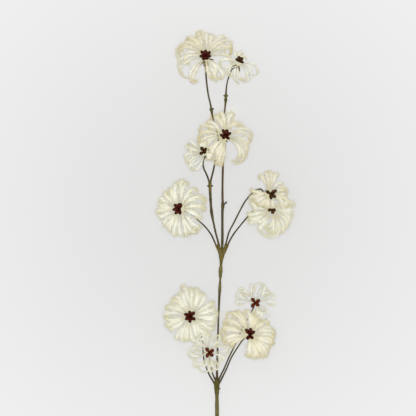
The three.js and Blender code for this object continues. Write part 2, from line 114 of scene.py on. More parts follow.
def linear(code: str) -> tuple[float, float, float, float]:
    """Turns an sRGB hex colour to linear numbers.

    Args:
        code: Six hex digits, with or without a leading #.

    Returns:
        Red, green and blue: c / 12.92 below 0.04045 and ((c + 0.055) / 1.055)^2.4 above it, and
        an alpha of 1.
    """
    digits = code.lstrip("#")
    shown = [int(digits[i : i + 2], 16) / 255 for i in (0, 2, 4)]
    red, green, blue = (c / 12.92 if c < 0.04045 else ((c + 0.055) / 1.055) ** 2.4 for c in shown)
    return red, green, blue, 1.0


def set_inputs(
    tree: bpy.types.NodeTree, node: bpy.types.Node, inputs: dict[str | int, object]
) -> None:
    """Sets or links a node's inputs.

    Args:
        tree: The node's tree.
        node: The node.
        inputs: For each input, by name or number, its value, a socket to link it to, or a node,
            which stands for the first result that it gives.
    """
    for name, value in inputs.items():
        if isinstance(value, bpy.types.Node):
            value = next(socket for socket in value.outputs if socket.enabled)
        if isinstance(value, Socket):
            tree.links.new(value, node.inputs[name])
        else:
            node.inputs[name].default_value = value


def add_node(
    tree: bpy.types.NodeTree,
    kind: str,
    settings: dict[str, object] | None = None,
    inputs: dict[str | int, object] | None = None,
    stops: tuple[tuple[float, str], ...] = (),
) -> bpy.types.Node:
    """Adds one node with its settings and links.

    Args:
        tree: The material's node tree.
        kind: The shader node's type.
        settings: Its properties by name.
        inputs: Its inputs, as for set_inputs.
        stops: A colour ramp's places and hex colours.

    Returns:
        The new node.
    """
    node = tree.nodes.new(f"ShaderNode{kind}")
    for name, value in (settings or {}).items():
        setattr(node, name, value)
    set_inputs(tree, node, inputs or {})
    for i, (place, code) in enumerate(stops):
        elements = node.color_ramp.elements
        element = elements[i] if i < len(elements) else elements.new(place)
        element.position = place
        element.color = linear(code)
    return node


def new_material(name: str) -> tuple[bpy.types.Material, bpy.types.NodeTree, bpy.types.Node]:
    """A new material with a plain shader.

    Args:
        name: What the material is.

    Returns:
        The material, its node tree and the shader in it.
    """
    material = bpy.data.materials.new(name)
    material.use_nodes = True
    return material, material.node_tree, material.node_tree.nodes["Principled BSDF"]


@dataclass
class Surface:
    """A closed surface: points, triangles, a map place for each corner, and a tone at each point."""

    points: Floats
    faces: Ints
    places: Floats
    tones: Floats | None = None

    @staticmethod
    def joined(surfaces: list["Surface"]) -> "Surface":
        """Several surfaces as one, with the faces of each numbered after those before it.

        Args:
            surfaces: The surfaces, all with tones or all without.

        Returns:
            The one surface.
        """
        counts = [len(s.points) for s in surfaces]
        starts = np.concatenate([[0], np.cumsum(counts)[:-1]]).astype(np.int64)
        tones = [s.tones for s in surfaces]
        return Surface(
            np.concatenate([s.points for s in surfaces]),
            np.concatenate([s.faces + start for s, start in zip(surfaces, starts)]),
            np.concatenate([s.places for s in surfaces]),
            None if tones[0] is None else np.concatenate(tones),
        )

    def made(self, name: str, map_name: str, finish: bpy.types.Material) -> bpy.types.Object:
        """Puts the surface into the scene as a piece that rides on the part.

        Args:
            name: The piece's name.
            map_name: The name of its map.
            finish: Its material.

        Returns:
            The object, at the origin, with its place in its mesh.
        """
        resting = self.points.copy()
        resting[:, 2] = np.maximum(resting[:, 2], REST_HEIGHT)
        mesh = bpy.data.meshes.new(name)
        mesh.vertices.add(len(resting))
        placed = (resting - OUTLINE_MIDDLE) * MM
        mesh.vertices.foreach_set("co", placed.astype(np.float32).ravel())
        mesh.loops.add(self.faces.size)
        mesh.loops.foreach_set("vertex_index", self.faces.astype(np.int32).ravel())
        mesh.polygons.add(len(self.faces))
        mesh.polygons.foreach_set("loop_start", np.arange(0, self.faces.size, 3, dtype=np.int32))
        mesh.update(calc_edges=True)
        layer = mesh.uv_layers.new(name=map_name)
        layer.uv.foreach_set("vector", self.places.astype(np.float32).ravel())
        if self.tones is not None:
            rgba = np.concatenate([self.tones, np.ones((len(self.tones), 1))], axis=1)
            layer = mesh.color_attributes.new(TONE, "FLOAT_COLOR", "POINT")
            layer.data.foreach_set("color", rgba.astype(np.float32).ravel())
        mesh.shade_smooth()
        mesh.materials.append(finish)
        piece = bpy.data.objects.new(name, mesh)
        bpy.context.scene.collection.objects.link(piece)
        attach(piece, BODY)
        log.info("%s: %d triangles", name, len(self.faces))
        return piece


def ring_surface(rings: Floats, poles: tuple[Floats, Floats], around: float, along: Floats) -> Surface:
    """Skins a row of rings and closes it with a pole at each end.

    Point (i, j) lies on ring i at j / m of the way round it, anticlockwise as seen from ahead, so
    that the triangles (i, j), (i, j+1), (i+1, j+1) and (i, j), (i+1, j+1), (i+1, j) face outwards.

    Args:
        rings: The points, n rings of m.
        poles: The points before the first ring and after the last.
        around: The map's width.
        along: Each ring's place on the map's other axis.

    Returns:
        The closed surface.
    """
    n, m = rings.shape[:2]
    i, j = np.meshgrid(np.arange(n - 1), np.arange(m), indexing="ij")
    near, far = i * m + j, (i + 1) * m + j
    near_next, far_next = i * m + (j + 1) % m, (i + 1) * m + (j + 1) % m
    first, last = n * m, n * m + 1
    column = np.arange(m)
    top = (n - 1) * m
    faces = np.concatenate(
        [
            np.stack([near, near_next, far_next], -1).reshape(-1, 3),
            np.stack([near, far_next, far], -1).reshape(-1, 3),
            np.stack([np.full(m, first), (column + 1) % m, column], -1),
            np.stack([np.full(m, last), top + column, top + (column + 1) % m], -1),
        ]
    )
    u, u_next = j / m * around, (j + 1) / m * around
    low, high = np.broadcast_to(along[:-1, None], i.shape), np.broadcast_to(along[1:, None], i.shape)
    ends = [np.full(m, along[0]), np.full(m, along[-1])]
    step = (along[-1] - along[0]) / (n - 1)
    left, right = column / m * around, (column + 1) / m * around
    middle = (left + right) / 2
    corner_rows = [
        [(u, low), (u_next, low), (u_next, high)],
        [(u, low), (u_next, high), (u, high)],
        [(middle, ends[0] - step), (right, ends[0]), (left, ends[0])],
        [(middle, ends[1] + step), (left, ends[1]), (right, ends[1])],
    ]
    places = [
        np.stack([np.stack([a.ravel(), b.ravel()], -1) for a, b in corners], 1)
        for corners in corner_rows
    ]
    points = np.concatenate([rings.reshape(-1, 3), poles[0][None], poles[1][None]])
    return Surface(points, faces, np.concatenate(places))


def oval_rings(
    line: Floats, angle: Floats, half_side: Floats, side: Floats, half_back: Floats, back: Floats
) -> Floats:
    """Rings round a line: its point + half side x cos(angle) x side + half back x sin(angle) x back.

    Args:
        line: The ring's middles, n of them.
        angle: Where on a ring its m points stand.
        half_side: The half widths, one for each ring or each point.
        side: The unit vector of the widths, one for all rings or one for each.
        half_back: The half heights, as the half widths.
        back: The unit vector of the heights.

    Returns:
        The points, n rings of m.
    """
    return (
        line[:, None]
        + (half_side * np.cos(angle))[..., None] * np.atleast_2d(side)[:, None]
        + (half_back * np.sin(angle))[..., None] * np.atleast_2d(back)[:, None]
    )


def on_band(surface: Surface, band: float) -> Surface:
    """Turns a surface's map so that its length runs along the hair map, from this band on.

    Args:
        surface: The surface, whose map has the girth first.
        band: The band where the girth starts.

    Returns:
        The same surface.
    """
    around, along = surface.places[..., 0], surface.places[..., 1]
    surface.places = np.stack([np.clip(along, 0, 1), around + band / TAIL_BANDS], -1)
    return surface


def carried_frames(line: Floats, side: Floats) -> tuple[Floats, Floats, Floats]:
    """Frames along a line that turn with it and don't twist.

    Args:
        line: Its points, in order.
        side: A vector across its start.

    Returns:
        The unit vectors along it, across it and along x across, at each point.
    """
    along = unit(np.gradient(line, axis=0))
    across = np.empty_like(line)
    for i, way in enumerate(along):
        side = side - way * (side @ way)
        side = side / np.linalg.norm(side)
        across[i] = side
    return along, across, np.cross(along, across)


def smooth_line(stations: Floats, spacing: float) -> tuple[Floats, Floats, Floats]:
    """A smooth line through stations of x, y, z and radius.

    Between two stations the place is the cubic that has, at each, the slope of the parabola
    through it and its neighbours, by the way along the chords. The radius goes from one to the
    next by 3t^2 - 2t^3.

    Args:
        stations: One row for each station.
        spacing: The way between two points of the line.

    Returns:
        The line's points, their radii and the way along it to each.
    """
    place, radius = stations[:, :3], stations[:, 3]
    chord = np.linalg.norm(np.diff(place, axis=0), axis=1)
    knots = np.concatenate([[0], np.cumsum(chord)])
    slope = np.diff(place, axis=0) / chord[:, None]
    tangent = np.empty_like(place)
    tangent[0], tangent[-1] = slope[0], slope[-1]
    before, after = chord[:-1, None], chord[1:, None]
    tangent[1:-1] = (slope[1:] * before + slope[:-1] * after) / (before + after)
    way = np.linspace(0, knots[-1], max(2, round(knots[-1] / spacing) + 1))
    k = np.clip(np.searchsorted(knots, way, side="right") - 1, 0, len(chord) - 1)
    t = ((way - knots[k]) / chord[k])[:, None]
    step = chord[k][:, None]
    start, end = place[k], place[k + 1]
    line = (
        (2 * t**3 - 3 * t**2 + 1) * start
        + (t**3 - 2 * t**2 + t) * step * tangent[k]
        + (3 * t**2 - 2 * t**3) * end
        + (t**3 - t**2) * step * tangent[k + 1]
    )
    share = t[:, 0] ** 2 * (3 - 2 * t[:, 0])
    return line, blend(radius[k], radius[k + 1], share), way


@dataclass(frozen=True)
class CurlShape:
    """How a tail bends: its angle falls by bend degrees, as the power of the way along it.

    Its plain solid has so many straight stretches, and it rolls aside by up to roll degrees.
    """

    bend: float
    power: float
    roll: float
    stretches: int


class Curl(Enum):
    """The three habits of the tails: hooked at the end, arched over, or closed to a loop."""

    HOOKED = CurlShape(190, 2.7, 24, 4)
    ARCHED = CurlShape(185, 2.0, 20, 4)
    LOOPED = CurlShape(265, 1.9, 62, 5)


class Scatter(Enum):
    """Steps of even scatters between -1 and 1: the multiples of an irrational number."""

    AZIMUTH = 0.618034
    REACH = 0.754878
    RISE = 0.569840
    BEND = 0.819173
    ROLL = 0.671044

    def at(self, count: int) -> float:
        """2 x the part of count x step after the point, less 1."""
        return 2 * ((count * self.value) % 1) - 1


class Silk(Enum):
    """The tones of the silky hair: crown, body, rim, tip, and the tints of hair ends and patches. The
    crown, rim and tip are darker partly as painted shade.
    """

    PALE = ("#dad7c5", "#f4f5ee", "#e1dfc9", "#e3e1cd", "#f9f6df", "#f9f5e4")
    CREAM = ("#dbd7bf", "#f4f3e9", "#e0dabf", "#e3ddc4", "#f8f4da", "#f6f1db")


class SeedCoat(Enum):
    """The tones of the seeds: dark, middle and pale, the pale one partly a painted highlight on the
    raised streaks.
    """

    MAROON = ("#100202", "#380f09", "#742e1e")
    BROWN = ("#1c0902", "#551e0c", "#883e24")
    OLIVE = ("#130a00", "#3c230c", "#6a461e")


TOP_BLOOMS = (1, 2)
UPPER_JOINT_BLOOMS = (5, 6, 7)

# How a bloom's tails rise, and how far they scatter round what their fan asks, in degrees.
UPPER_RISE = 22
LOWER_RISE = 6
AZIMUTH_SCATTER = 2.5
RISE_SCATTER = 5
BEND_SCATTER = 18
LEAN_SCATTER = 18
REACH_SCATTER = 0.05  # as a share of the reach
STEPS_TO_A_BLOOM = 7  # from one bloom's first scatter to the next bloom's


@dataclass(frozen=True)
class Tail:
    """One feathery tail: which layer it grows from, and how it leaves, reaches, bends and rolls."""

    upper: bool
    azimuth: float
    reach: float
    rise: float
    bend: float
    roll: float


@dataclass(frozen=True)
class Bloom:
    """A bloom: the middle of its button, the way it faces, its seeds' azimuths and its tails.

    The tails stand in fans: from and to azimuth, how many, and their reach from and to. A fan
    that leans has its roll last.
    """

    number: int
    at: tuple[float, float, float]
    facing: tuple[float, float, float]
    curl: Curl
    seeds: tuple[float, ...]
    fans: tuple[tuple[float, ...], ...]
    sepals: tuple[float, ...]
    seed_scale: float = 1.0
    silk: Silk = Silk.PALE
    coat: SeedCoat = SeedCoat.MAROON
    hair_scale: float = 1.0
    hair_share: float = 1.0

    @property
    def middle(self) -> Floats:
        """The middle of the button."""
        return np.array(self.at)

    @property
    def ahead(self) -> Floats:
        """The unit vector that the bloom faces along."""
        return unit(np.array(self.facing))

    def named(self, kind: str) -> str:
        """The name of this bloom's piece of that kind."""
        return f"{kind}_{self.number:02d}"

    def scatter_step(self, before: int) -> int:
        """The step of the even scatters for the tail or seed that has this many before it."""
        return before + 1 + STEPS_TO_A_BLOOM * self.number

    def outward(self, azimuth: Floats | float) -> Floats:
        """A way out in the bloom's plane that is 1 long as seen from above.

        Args:
            azimuth: The azimuth, or an array of them, in degrees.

        Returns:
            The vector, or a row for each azimuth.
        """
        x, y = np.cos(np.radians(azimuth)), np.sin(np.radians(azimuth))
        a, b, c = self.facing
        return np.stack([x, y, -(a * x + b * y) / c], axis=-1)

    def level(self, angle: Floats) -> Floats:
        """The unit vectors in the bloom's plane at these angles round it.

        Args:
            angle: The angles.

        Returns:
            A unit vector for each: cos(angle) x east + sin(angle) x north.
        """
        east = unit(np.cross([0.0, 1.0, 0.0], self.ahead))
        north = np.cross(self.ahead, east)
        return np.cos(angle)[:, None] * east + np.sin(angle)[:, None] * north

    def globe(
        self, middle: Floats, latitude: Floats, angle: Floats, wide: Floats | float, high: Floats | float
    ) -> Floats:
        """Rings of a ball: wide x cos(latitude) out and high x sin(latitude) ahead of its middle.

        Args:
            middle: The ball's middle.
            latitude: The latitude of each ring.
            angle: Where on a ring its points stand.
            wide: The radius in the bloom's plane, one for all points or one for each.
            high: The radius along the way that the bloom faces, likewise.

        Returns:
            The points, a ring for each latitude.
        """
        return (
            middle
            + (wide * np.cos(latitude)[:, None])[..., None] * self.level(angle)
            + (high * np.sin(latitude)[:, None])[..., None] * self.ahead
        )

    def wanted_tails(self) -> list[Tail]:
        """Every tail that the fans ask for, upper and lower ones in turn.

        Returns:
            The tails, each at its even place in its fan with its own scatter.
        """
        curl = self.curl.value
        tails: list[Tail] = []
        for start, end, many, reach_start, reach_end, *lean in self.fans:
            for i in range(int(many)):
                count = self.scatter_step(len(tails))
                upper = len(tails) % 2 == 0
                along = (i + 0.5) / many
                azimuth = blend(start, end, along) + AZIMUTH_SCATTER * Scatter.AZIMUTH.at(count)
                reach = blend(reach_start, reach_end, along)
                reach = reach * (1 + REACH_SCATTER * Scatter.REACH.at(count))
                rise = (UPPER_RISE if upper else LOWER_RISE) + RISE_SCATTER * Scatter.RISE.at(count)
                bend = curl.bend + BEND_SCATTER * Scatter.BEND.at(count)
                spread = Scatter.ROLL.at(count)
                roll = lean[0] + LEAN_SCATTER * spread if lean else curl.roll * spread
                tails.append(Tail(upper, azimuth, reach, rise, bend, roll))
        return tails


@dataclass
class TailLine:
    """A tail's middle line on fine steps, with the vectors along it, across it and off its back."""

    points: Floats
    along: Floats
    across: Floats
    back: Floats
    share: Floats


@dataclass
class TailRule:
    """Lays a bloom's tails as the model's plain ones lie.

    A tail rises from the bloom's plane, runs out and curls back under itself. Its angle above
    level at share s of its length is rise - bend x s^power. Its line sums (cos angle x level +
    sin angle x up), and its length gives the reach asked for as seen from above.
    """

    bloom: Bloom
    root_at: float = 1.5
    layer_gap: float = 0.4
    body_radius: float = 1.6
    sum_steps: int = 8
    fine_steps: int = 26
    sums_each: int = 12
    lifts: tuple[float, ...] = (0, 10, 20)
    turns: tuple[float, ...] = (0, 4, -4, 8, -8, 13, -13)
    reaches: tuple[float, ...] = (1, 0.92, 0.84, 0.72)
    match_within: float = 0.03
    step_power: float = 0.75  # the share of fine step k of n is (k / n)^0.75
    waver: float = 0.35
    waver_length: float = 13.0
    second_waver: float = 0.7  # turns to one of the first
    floor_ease: float = 0.3  # square mm: how softly a line comes down to the surface

    def ways_to_lay(self, wanted: Tail) -> list[Tail]:
        """Every lift, turn and reach that a tail may have been given to clear its neighbours.

        Args:
            wanted: The tail as its fan asks for it.

        Returns:
            The tails, in the order that they were tried.
        """
        return [
            replace(
                wanted,
                azimuth=wanted.azimuth + turn,
                reach=wanted.reach * share,
                rise=wanted.rise + lift,
            )
            for lift in self.lifts
            for turn in self.turns
            for share in self.reaches
        ]

    def plane(self, tail: Tail) -> tuple[Floats, Floats, Floats]:
        """The level way out, the way up and the way across of the plane that a tail curls in.

        Args:
            tail: The tail.

        Returns:
            The three unit vectors, turned by its roll round the way out.
        """
        ahead = self.bloom.ahead
        level = unit(self.bloom.outward(tail.azimuth))
        lateral = np.cross(ahead, level)
        roll = np.radians(tail.roll)
        up = np.cos(roll) * ahead + np.sin(roll) * lateral
        return level, up, np.cross(level, up)

    def sums(self, tail: Tail, shares: Floats, each: int) -> Floats:
        """The sums of cos and sin of the angle from 0 to each share, each stretch in equal steps.

        Args:
            tail: The tail whose angle it is.
            shares: The shares of its length, from 0 on.
            each: How many steps there are from one share to the next.

        Returns:
            A row of both sums for each share.
        """
        starts, widths = shares[:-1, None], np.diff(shares)[:, None] / each
        middles = starts + (np.arange(each) + 0.5) * widths
        angle = np.radians(tail.rise - tail.bend * middles**self.bloom.curl.value.power)
        stretch = np.stack([np.cos(angle).sum(1), np.sin(angle).sum(1)], -1) * widths
        return np.concatenate([np.zeros((1, 2)), np.cumsum(stretch, axis=0)])

    def root(self, tail: Tail, level: Floats) -> Floats:
        """Where a tail leaves the button, in its upper or its lower layer."""
        layer = self.layer_gap / 2 * (1 if tail.upper else -1)
        return self.bloom.middle + self.root_at * level + layer * self.bloom.ahead

    def measured(self, tail: Tail) -> tuple[float, Floats]:
        """A tail's length and the tip of its plain solid.

        Args:
            tail: The tail.

        Returns:
            Both, with the tip no lower than the solid's radius.
        """
        curl = self.bloom.curl.value
        level, up, _ = self.plane(tail)
        shares = (np.arange(curl.stretches + 1) / curl.stretches) ** (1 / curl.power)
        sums = self.sums(tail, shares, self.sum_steps)
        shape = sums[:, :1] * level + sums[:, 1:] * up
        way = self.bloom.outward(tail.azimuth)
        length = (tail.reach - self.root_at) / (shape[:, :2] @ way[:2]).max()
        tip = self.root(tail, level) + shape[-1] * length
        tip[2] = max(tip[2], self.body_radius)
        return length, tip

    def laid_tails(self) -> list[Tail]:
        """The tails as they lie in the model: for each, the way whose tip the solid has.

        Returns:
            The tails, in the order of the fans. One whose tip lies hidden in another tail has
            its first way.
        """
        node = bpy.data.objects[self.bloom.named("tails")]
        corners = np.empty(len(node.data.vertices) * 3, np.float32)
        node.data.vertices.foreach_get("co", corners)
        solid = corners.reshape(-1, 3) / MM + OUTLINE_MIDDLE
        laid, lost = [], 0
        for wanted in self.bloom.wanted_tails():
            ways = self.ways_to_lay(wanted)
            tips = np.stack([self.measured(tail)[1] for tail in ways])
            apart = np.linalg.norm(tips[:, None] - solid[None], axis=2).min(1)
            found = int(apart.argmin())
            lost += apart[found] > self.match_within
            laid.append(ways[found if apart[found] <= self.match_within else 0])
        log.info("%s: %d tails, %d of them by their first way", node.name, len(laid), lost)
        return laid

    def fine_line(self, tail: Tail, phase: float) -> TailLine:
        """A tail's line on fine steps, closer together where it curls, with a slight waver.

        Args:
            tail: The tail as laid.
            phase: Where its waver starts, in turns.

        Returns:
            The line and its frames.
        """
        level, up, across = self.plane(tail)
        length, _ = self.measured(tail)
        share = (np.arange(self.fine_steps + 1) / self.fine_steps) ** self.step_power
        sums = self.sums(tail, share, self.sums_each) * length
        waver = self.waver * smooth_step(0.1, 0.5, share)
        turn = 2 * np.pi * (phase + share * length / self.waver_length)
        line = (
            self.root(tail, level)
            + sums[:, :1] * level
            + sums[:, 1:] * up
            + (waver * np.sin(turn))[:, None] * across
            + (waver * np.cos(self.second_waver * turn))[:, None] * self.bloom.ahead
        )
        over = line[:, 2] - self.body_radius
        line[:, 2] = self.body_radius + (over + np.sqrt(over**2 + self.floor_ease)) / 2
        along = unit(np.gradient(line, axis=0))
        sideways = unit(across - along * (along @ across)[:, None])
        return TailLine(line, along, sideways, np.cross(along, sideways), share)


@dataclass
class Plumes:
    """A bloom's tails: a fine thread in each, set all along with silky hairs, on a woolly crown."""

    bloom: Bloom
    hairs: int = 680  # to a tail
    hair_order: tuple[float, ...] = (0, 0.17, 1)  # the share of a tail's hairs that stand before
    hair_place: tuple[float, ...] = (0.02, 0.3, 1)  # these places along it: sparse at the root
    hair_radius: float = 0.078
    hair_length: tuple[float, float] = (1.8, 6.4)
    root_growth: tuple[float, float] = (0.45, 1.25)  # times their length, from the root to a third
    tip_growth: tuple[float, float] = (1.0, 0.5)  # and over the last third
    widening: tuple[float, float] = (0, 0.35)  # the shares of a tail where its root ends
    shortening: tuple[float, float] = (0.62, 0.97)  # where its hairs shorten
    closing: tuple[float, float] = (0.9, 1)  # and where they close up to its tip
    hair_lean: tuple[float, float] = (26, 72)  # degrees off the tail
    tip_lean: float = 0.6  # times their lean at the tip
    hair_stray: float = 0.1  # how far a hair's way strays, for each mm of it
    side_bias: float = 0.42  # how much closer they stand at the tail's two sides
    long_share: float = 0.12  # of the hairs, which are longer and finer than the rest
    long_by: float = 1.2
    fine_by: float = 0.8
    root_depth: float = 0.75  # of the thread's radius, where a hair leaves it
    thread_radius: float = 0.24
    thread_sides: int = 4
    thread_ends: tuple[float, float] = (0.3, 0.8)  # how far its root and its tip are drawn out
    thread_girth: tuple[float, float] = (0.06, 0.12)  # its start and its width on its band
    root_radius: float = 0.2
    thread_taper: float = 0.65  # how much of its radius it loses over its last fifth
    crown_radius: float = 4.4
    crown_core: float = 0.8  # of its radius, which its ball fills under the hairs
    crown_seat: tuple[float, float] = (0.78, 0.95)  # of its radius and height, where hairs leave it
    crown_half_height: float = 1.5
    crown_latitude: float = 75.0  # degrees, of the rings nearest its poles
    crown_rings: int = 9
    crown_sides: int = 20
    crown_girth: tuple[float, float] = (0.08, 0.1)  # its start and its width on its band
    crown_place: tuple[float, float] = (0.02, 0.1)  # and its place along the map
    crown_hairs: int = 700
    crown_hair_length: tuple[float, float] = (0.9, 1.9)
    crown_hair_tilt: tuple[float, float] = (-60, 62)  # the latitudes that they stand at, degrees
    crown_hair_scatter: float = 4.0  # degrees of latitude
    crown_hair_rise: float = 0.25
    crown_hair_stray: float = 0.22
    bend: float = 3.0  # how much more a normal points up than it did

    def hairs_on(
        self, roots: Floats, ways: Floats, lengths: Floats, radii: Floats, place: Floats, band: int
    ) -> Surface:
        """Hairs as slim closed slivers of four triangles, about equally wide all along.

        Each has a short edge at its root and one at its tip, square to each other and to its
        way: root +- radius x e1 and root + length x way +- radius x e2.

        Args:
            roots: Where each hair leaves its thread.
            ways: The unit vector along each.
            lengths: Their lengths.
            radii: Half their widths.
            place: Each hair's share along the tail, which is its place on the map.
            band: The map's band, which the hairs of one tail share.

        Returns:
            The hairs as one surface of many closed slivers.
        """
        helper = np.where(np.abs(ways[:, 2:]) < 0.9, [[0.0, 0.0, 1.0]], [[1.0, 0.0, 0.0]])
        first = unit(np.cross(helper, ways))
        second = np.cross(ways, first)
        tips = roots + lengths[:, None] * ways
        half = radii[:, None]
        ends = (roots - half * first, roots + half * first, tips - half * second, tips + half * second)
        points = np.stack(ends, axis=1).reshape(-1, 3)
        sliver = np.array([[0, 1, 2], [0, 3, 1], [0, 2, 3], [1, 3, 2]])
        faces = (np.arange(len(roots))[:, None, None] * 4 + sliver).reshape(-1, 3)
        # The four points' places on the map: a little apart along the tail, and along the hair
        # from near the band's start to near its end.
        along_tail = np.clip(place, 0.01, 0.985)[:, None] + np.array([-0.006, 0.006, -0.006, 0.006])
        along_hair = np.broadcast_to([0.08, 0.1, 0.93, 0.95], along_tail.shape)
        map_points = np.stack([along_tail, (band + along_hair) / TAIL_BANDS], -1).reshape(-1, 2)
        return Surface(points, faces, map_points[faces])

    def thread(self, line: TailLine, band: int) -> Surface:
        """The thread of a tail: thin at the root, thickest at the middle, and drawn to a point.

        Args:
            line: The tail's line.
            band: The tail's band of the map.

        Returns:
            The thread.
        """
        radius = self.core_radius(line.share)[:, None]
        rings = oval_rings(line.points, turns(self.thread_sides), radius, line.across, radius, line.back)
        root, tip = self.thread_ends
        poles = (line.points[0] - root * line.along[0], line.points[-1] + tip * line.along[-1])
        start, width = self.thread_girth
        return on_band(ring_surface(rings, poles, width / TAIL_BANDS, line.share), band + start)

    def core_radius(self, share: Floats) -> Floats:
        """The radius of a tail's matted core: it widens over a third of its length and narrows last."""
        widened = blend(self.root_radius, self.thread_radius, smooth_step(*self.widening, share))
        return widened * (1 - self.thread_taper * smooth_step(0.8, 1, share))

    def tail(self, line: TailLine, band: int, rng: np.random.Generator) -> list[Surface]:
        """One tail: its thread and its hairs, which lean towards its tip all round it.

        The hairs turn by the golden angle from one to the next. Near the root they are sparse
        and short, from a third of the way on they are at their full length, and over the last
        third they shorten by half.

        Args:
            line: The tail's line.
            band: The tail's band of the map.
            rng: Where the draws come from.

        Returns:
            The thread and the hairs.
        """
        many = round(self.hairs * self.bloom.hair_share)
        place = (np.arange(many) + rng.uniform(0, 1, many)) / many
        place = np.interp(place, self.hair_order, self.hair_place)
        at = sampled(place, line.share, line.points)
        along, across, back = (
            unit(sampled(place, line.share, vectors)) for vectors in (line.along, line.across, line.back)
        )
        turn = np.arange(many) * GOLDEN_ANGLE + rng.uniform(-0.5, 0.5, many)
        turn = turn - self.side_bias * np.sin(2 * turn)
        off = np.cos(turn)[:, None] * across + np.sin(turn)[:, None] * back
        long = rng.uniform(0, 1, many) < self.long_share
        at_root = blend(*self.root_growth, smooth_step(*self.widening, place))
        at_tip = blend(*self.tip_growth, smooth_step(*self.shortening, place))
        grown = at_root * at_tip * self.bloom.hair_scale
        length = grown * rng.uniform(*self.hair_length, many) * np.where(long, self.long_by, 1.0)
        lean = np.radians(rng.uniform(*self.hair_lean, many))
        lean = lean * blend(1.0, self.tip_lean, smooth_step(*self.closing, place))
        way = np.cos(lean)[:, None] * along + np.sin(lean)[:, None] * off
        way = unit(way + rng.normal(0, self.hair_stray, way.shape))
        radius = self.hair_radius * np.where(long, self.fine_by, 1.0) * blend(0.8, 1.0, grown)
        roots = at + self.root_depth * self.core_radius(place)[:, None] * off
        return [self.thread(line, band), self.hairs_on(roots, way, length, radius, place, band)]

    def crown(self, band: int, rng: np.random.Generator) -> list[Surface]:
        """The woolly button under the seeds: a low ball, set with short hairs all over.

        Args:
            band: The crown's band of the map.
            rng: Where the draws come from.

        Returns:
            The ball and the hairs.
        """
        bloom, many = self.bloom, self.crown_hairs
        top = self.crown_latitude
        latitude = np.radians(np.linspace(-top, top, self.crown_rings))
        wide, high = self.crown_core * self.crown_radius, self.crown_half_height
        rings = bloom.globe(bloom.middle, latitude, turns(self.crown_sides), wide, high)
        poles = tuple(bloom.middle + sign * high * bloom.ahead for sign in (-1, 1))
        start, width = self.crown_girth
        along = np.linspace(*self.crown_place, self.crown_rings)
        ball = ring_surface(rings, poles, width / TAIL_BANDS, along)
        tilt = blend(*self.crown_hair_tilt, np.arange(many) / many)
        tilt = np.radians(tilt + rng.normal(0, self.crown_hair_scatter, many))
        level = bloom.level(np.arange(many) * GOLDEN_ANGLE)
        out, up = self.crown_seat
        roots = (
            bloom.middle
            + (out * self.crown_radius * np.cos(tilt))[:, None] * level
            + (up * high * np.sin(tilt))[:, None] * bloom.ahead
        )
        rise = self.crown_hair_rise * np.sin(tilt)[:, None] * bloom.ahead
        way = unit(level + rise + rng.normal(0, self.crown_hair_stray, roots.shape))
        length = rng.uniform(*self.crown_hair_length, many)
        radius = np.full(many, self.hair_radius)
        place = blend(0.02, 0.12, rng.uniform(0, 1, many))
        hairs = self.hairs_on(roots, way, length, radius, place, band)
        return [on_band(ball, band + start), hairs]

    def soften(self, piece: bpy.types.Object) -> None:
        """Bends each normal towards the way up: unit(normal + bend x up).

        Light goes round and through fine hair, so that a mass of it has no lit and dark sides.

        Args:
            piece: The hairs' object.
        """
        mesh = piece.data
        normals = np.empty(len(mesh.vertices) * 3, np.float32)
        mesh.vertex_normals.foreach_get("vector", normals)
        mesh.normals_split_custom_set_from_vertices(unit(normals.reshape(-1, 3) + [0, 0, self.bend]))

    def build(self, finish: bpy.types.Material) -> bpy.types.Object:
        """All the bloom's tails and its crown as one piece in place of the plain tails.

        Args:
            finish: Its material.

        Returns:
            The piece.
        """
        rng = np.random.default_rng(1000 + self.bloom.number)
        rule = TailRule(self.bloom)
        surfaces = self.crown(0, rng)
        for band, tail in enumerate(rule.laid_tails(), start=1):
            line = rule.fine_line(tail, rng.uniform(0, 1))
            surfaces += self.tail(line, band, rng)
        piece = Surface.joined(surfaces).made(self.bloom.named("plumes"), HAIR_MAP, finish)
        self.soften(piece)
        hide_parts(self.bloom.named("tails"))
        return piece


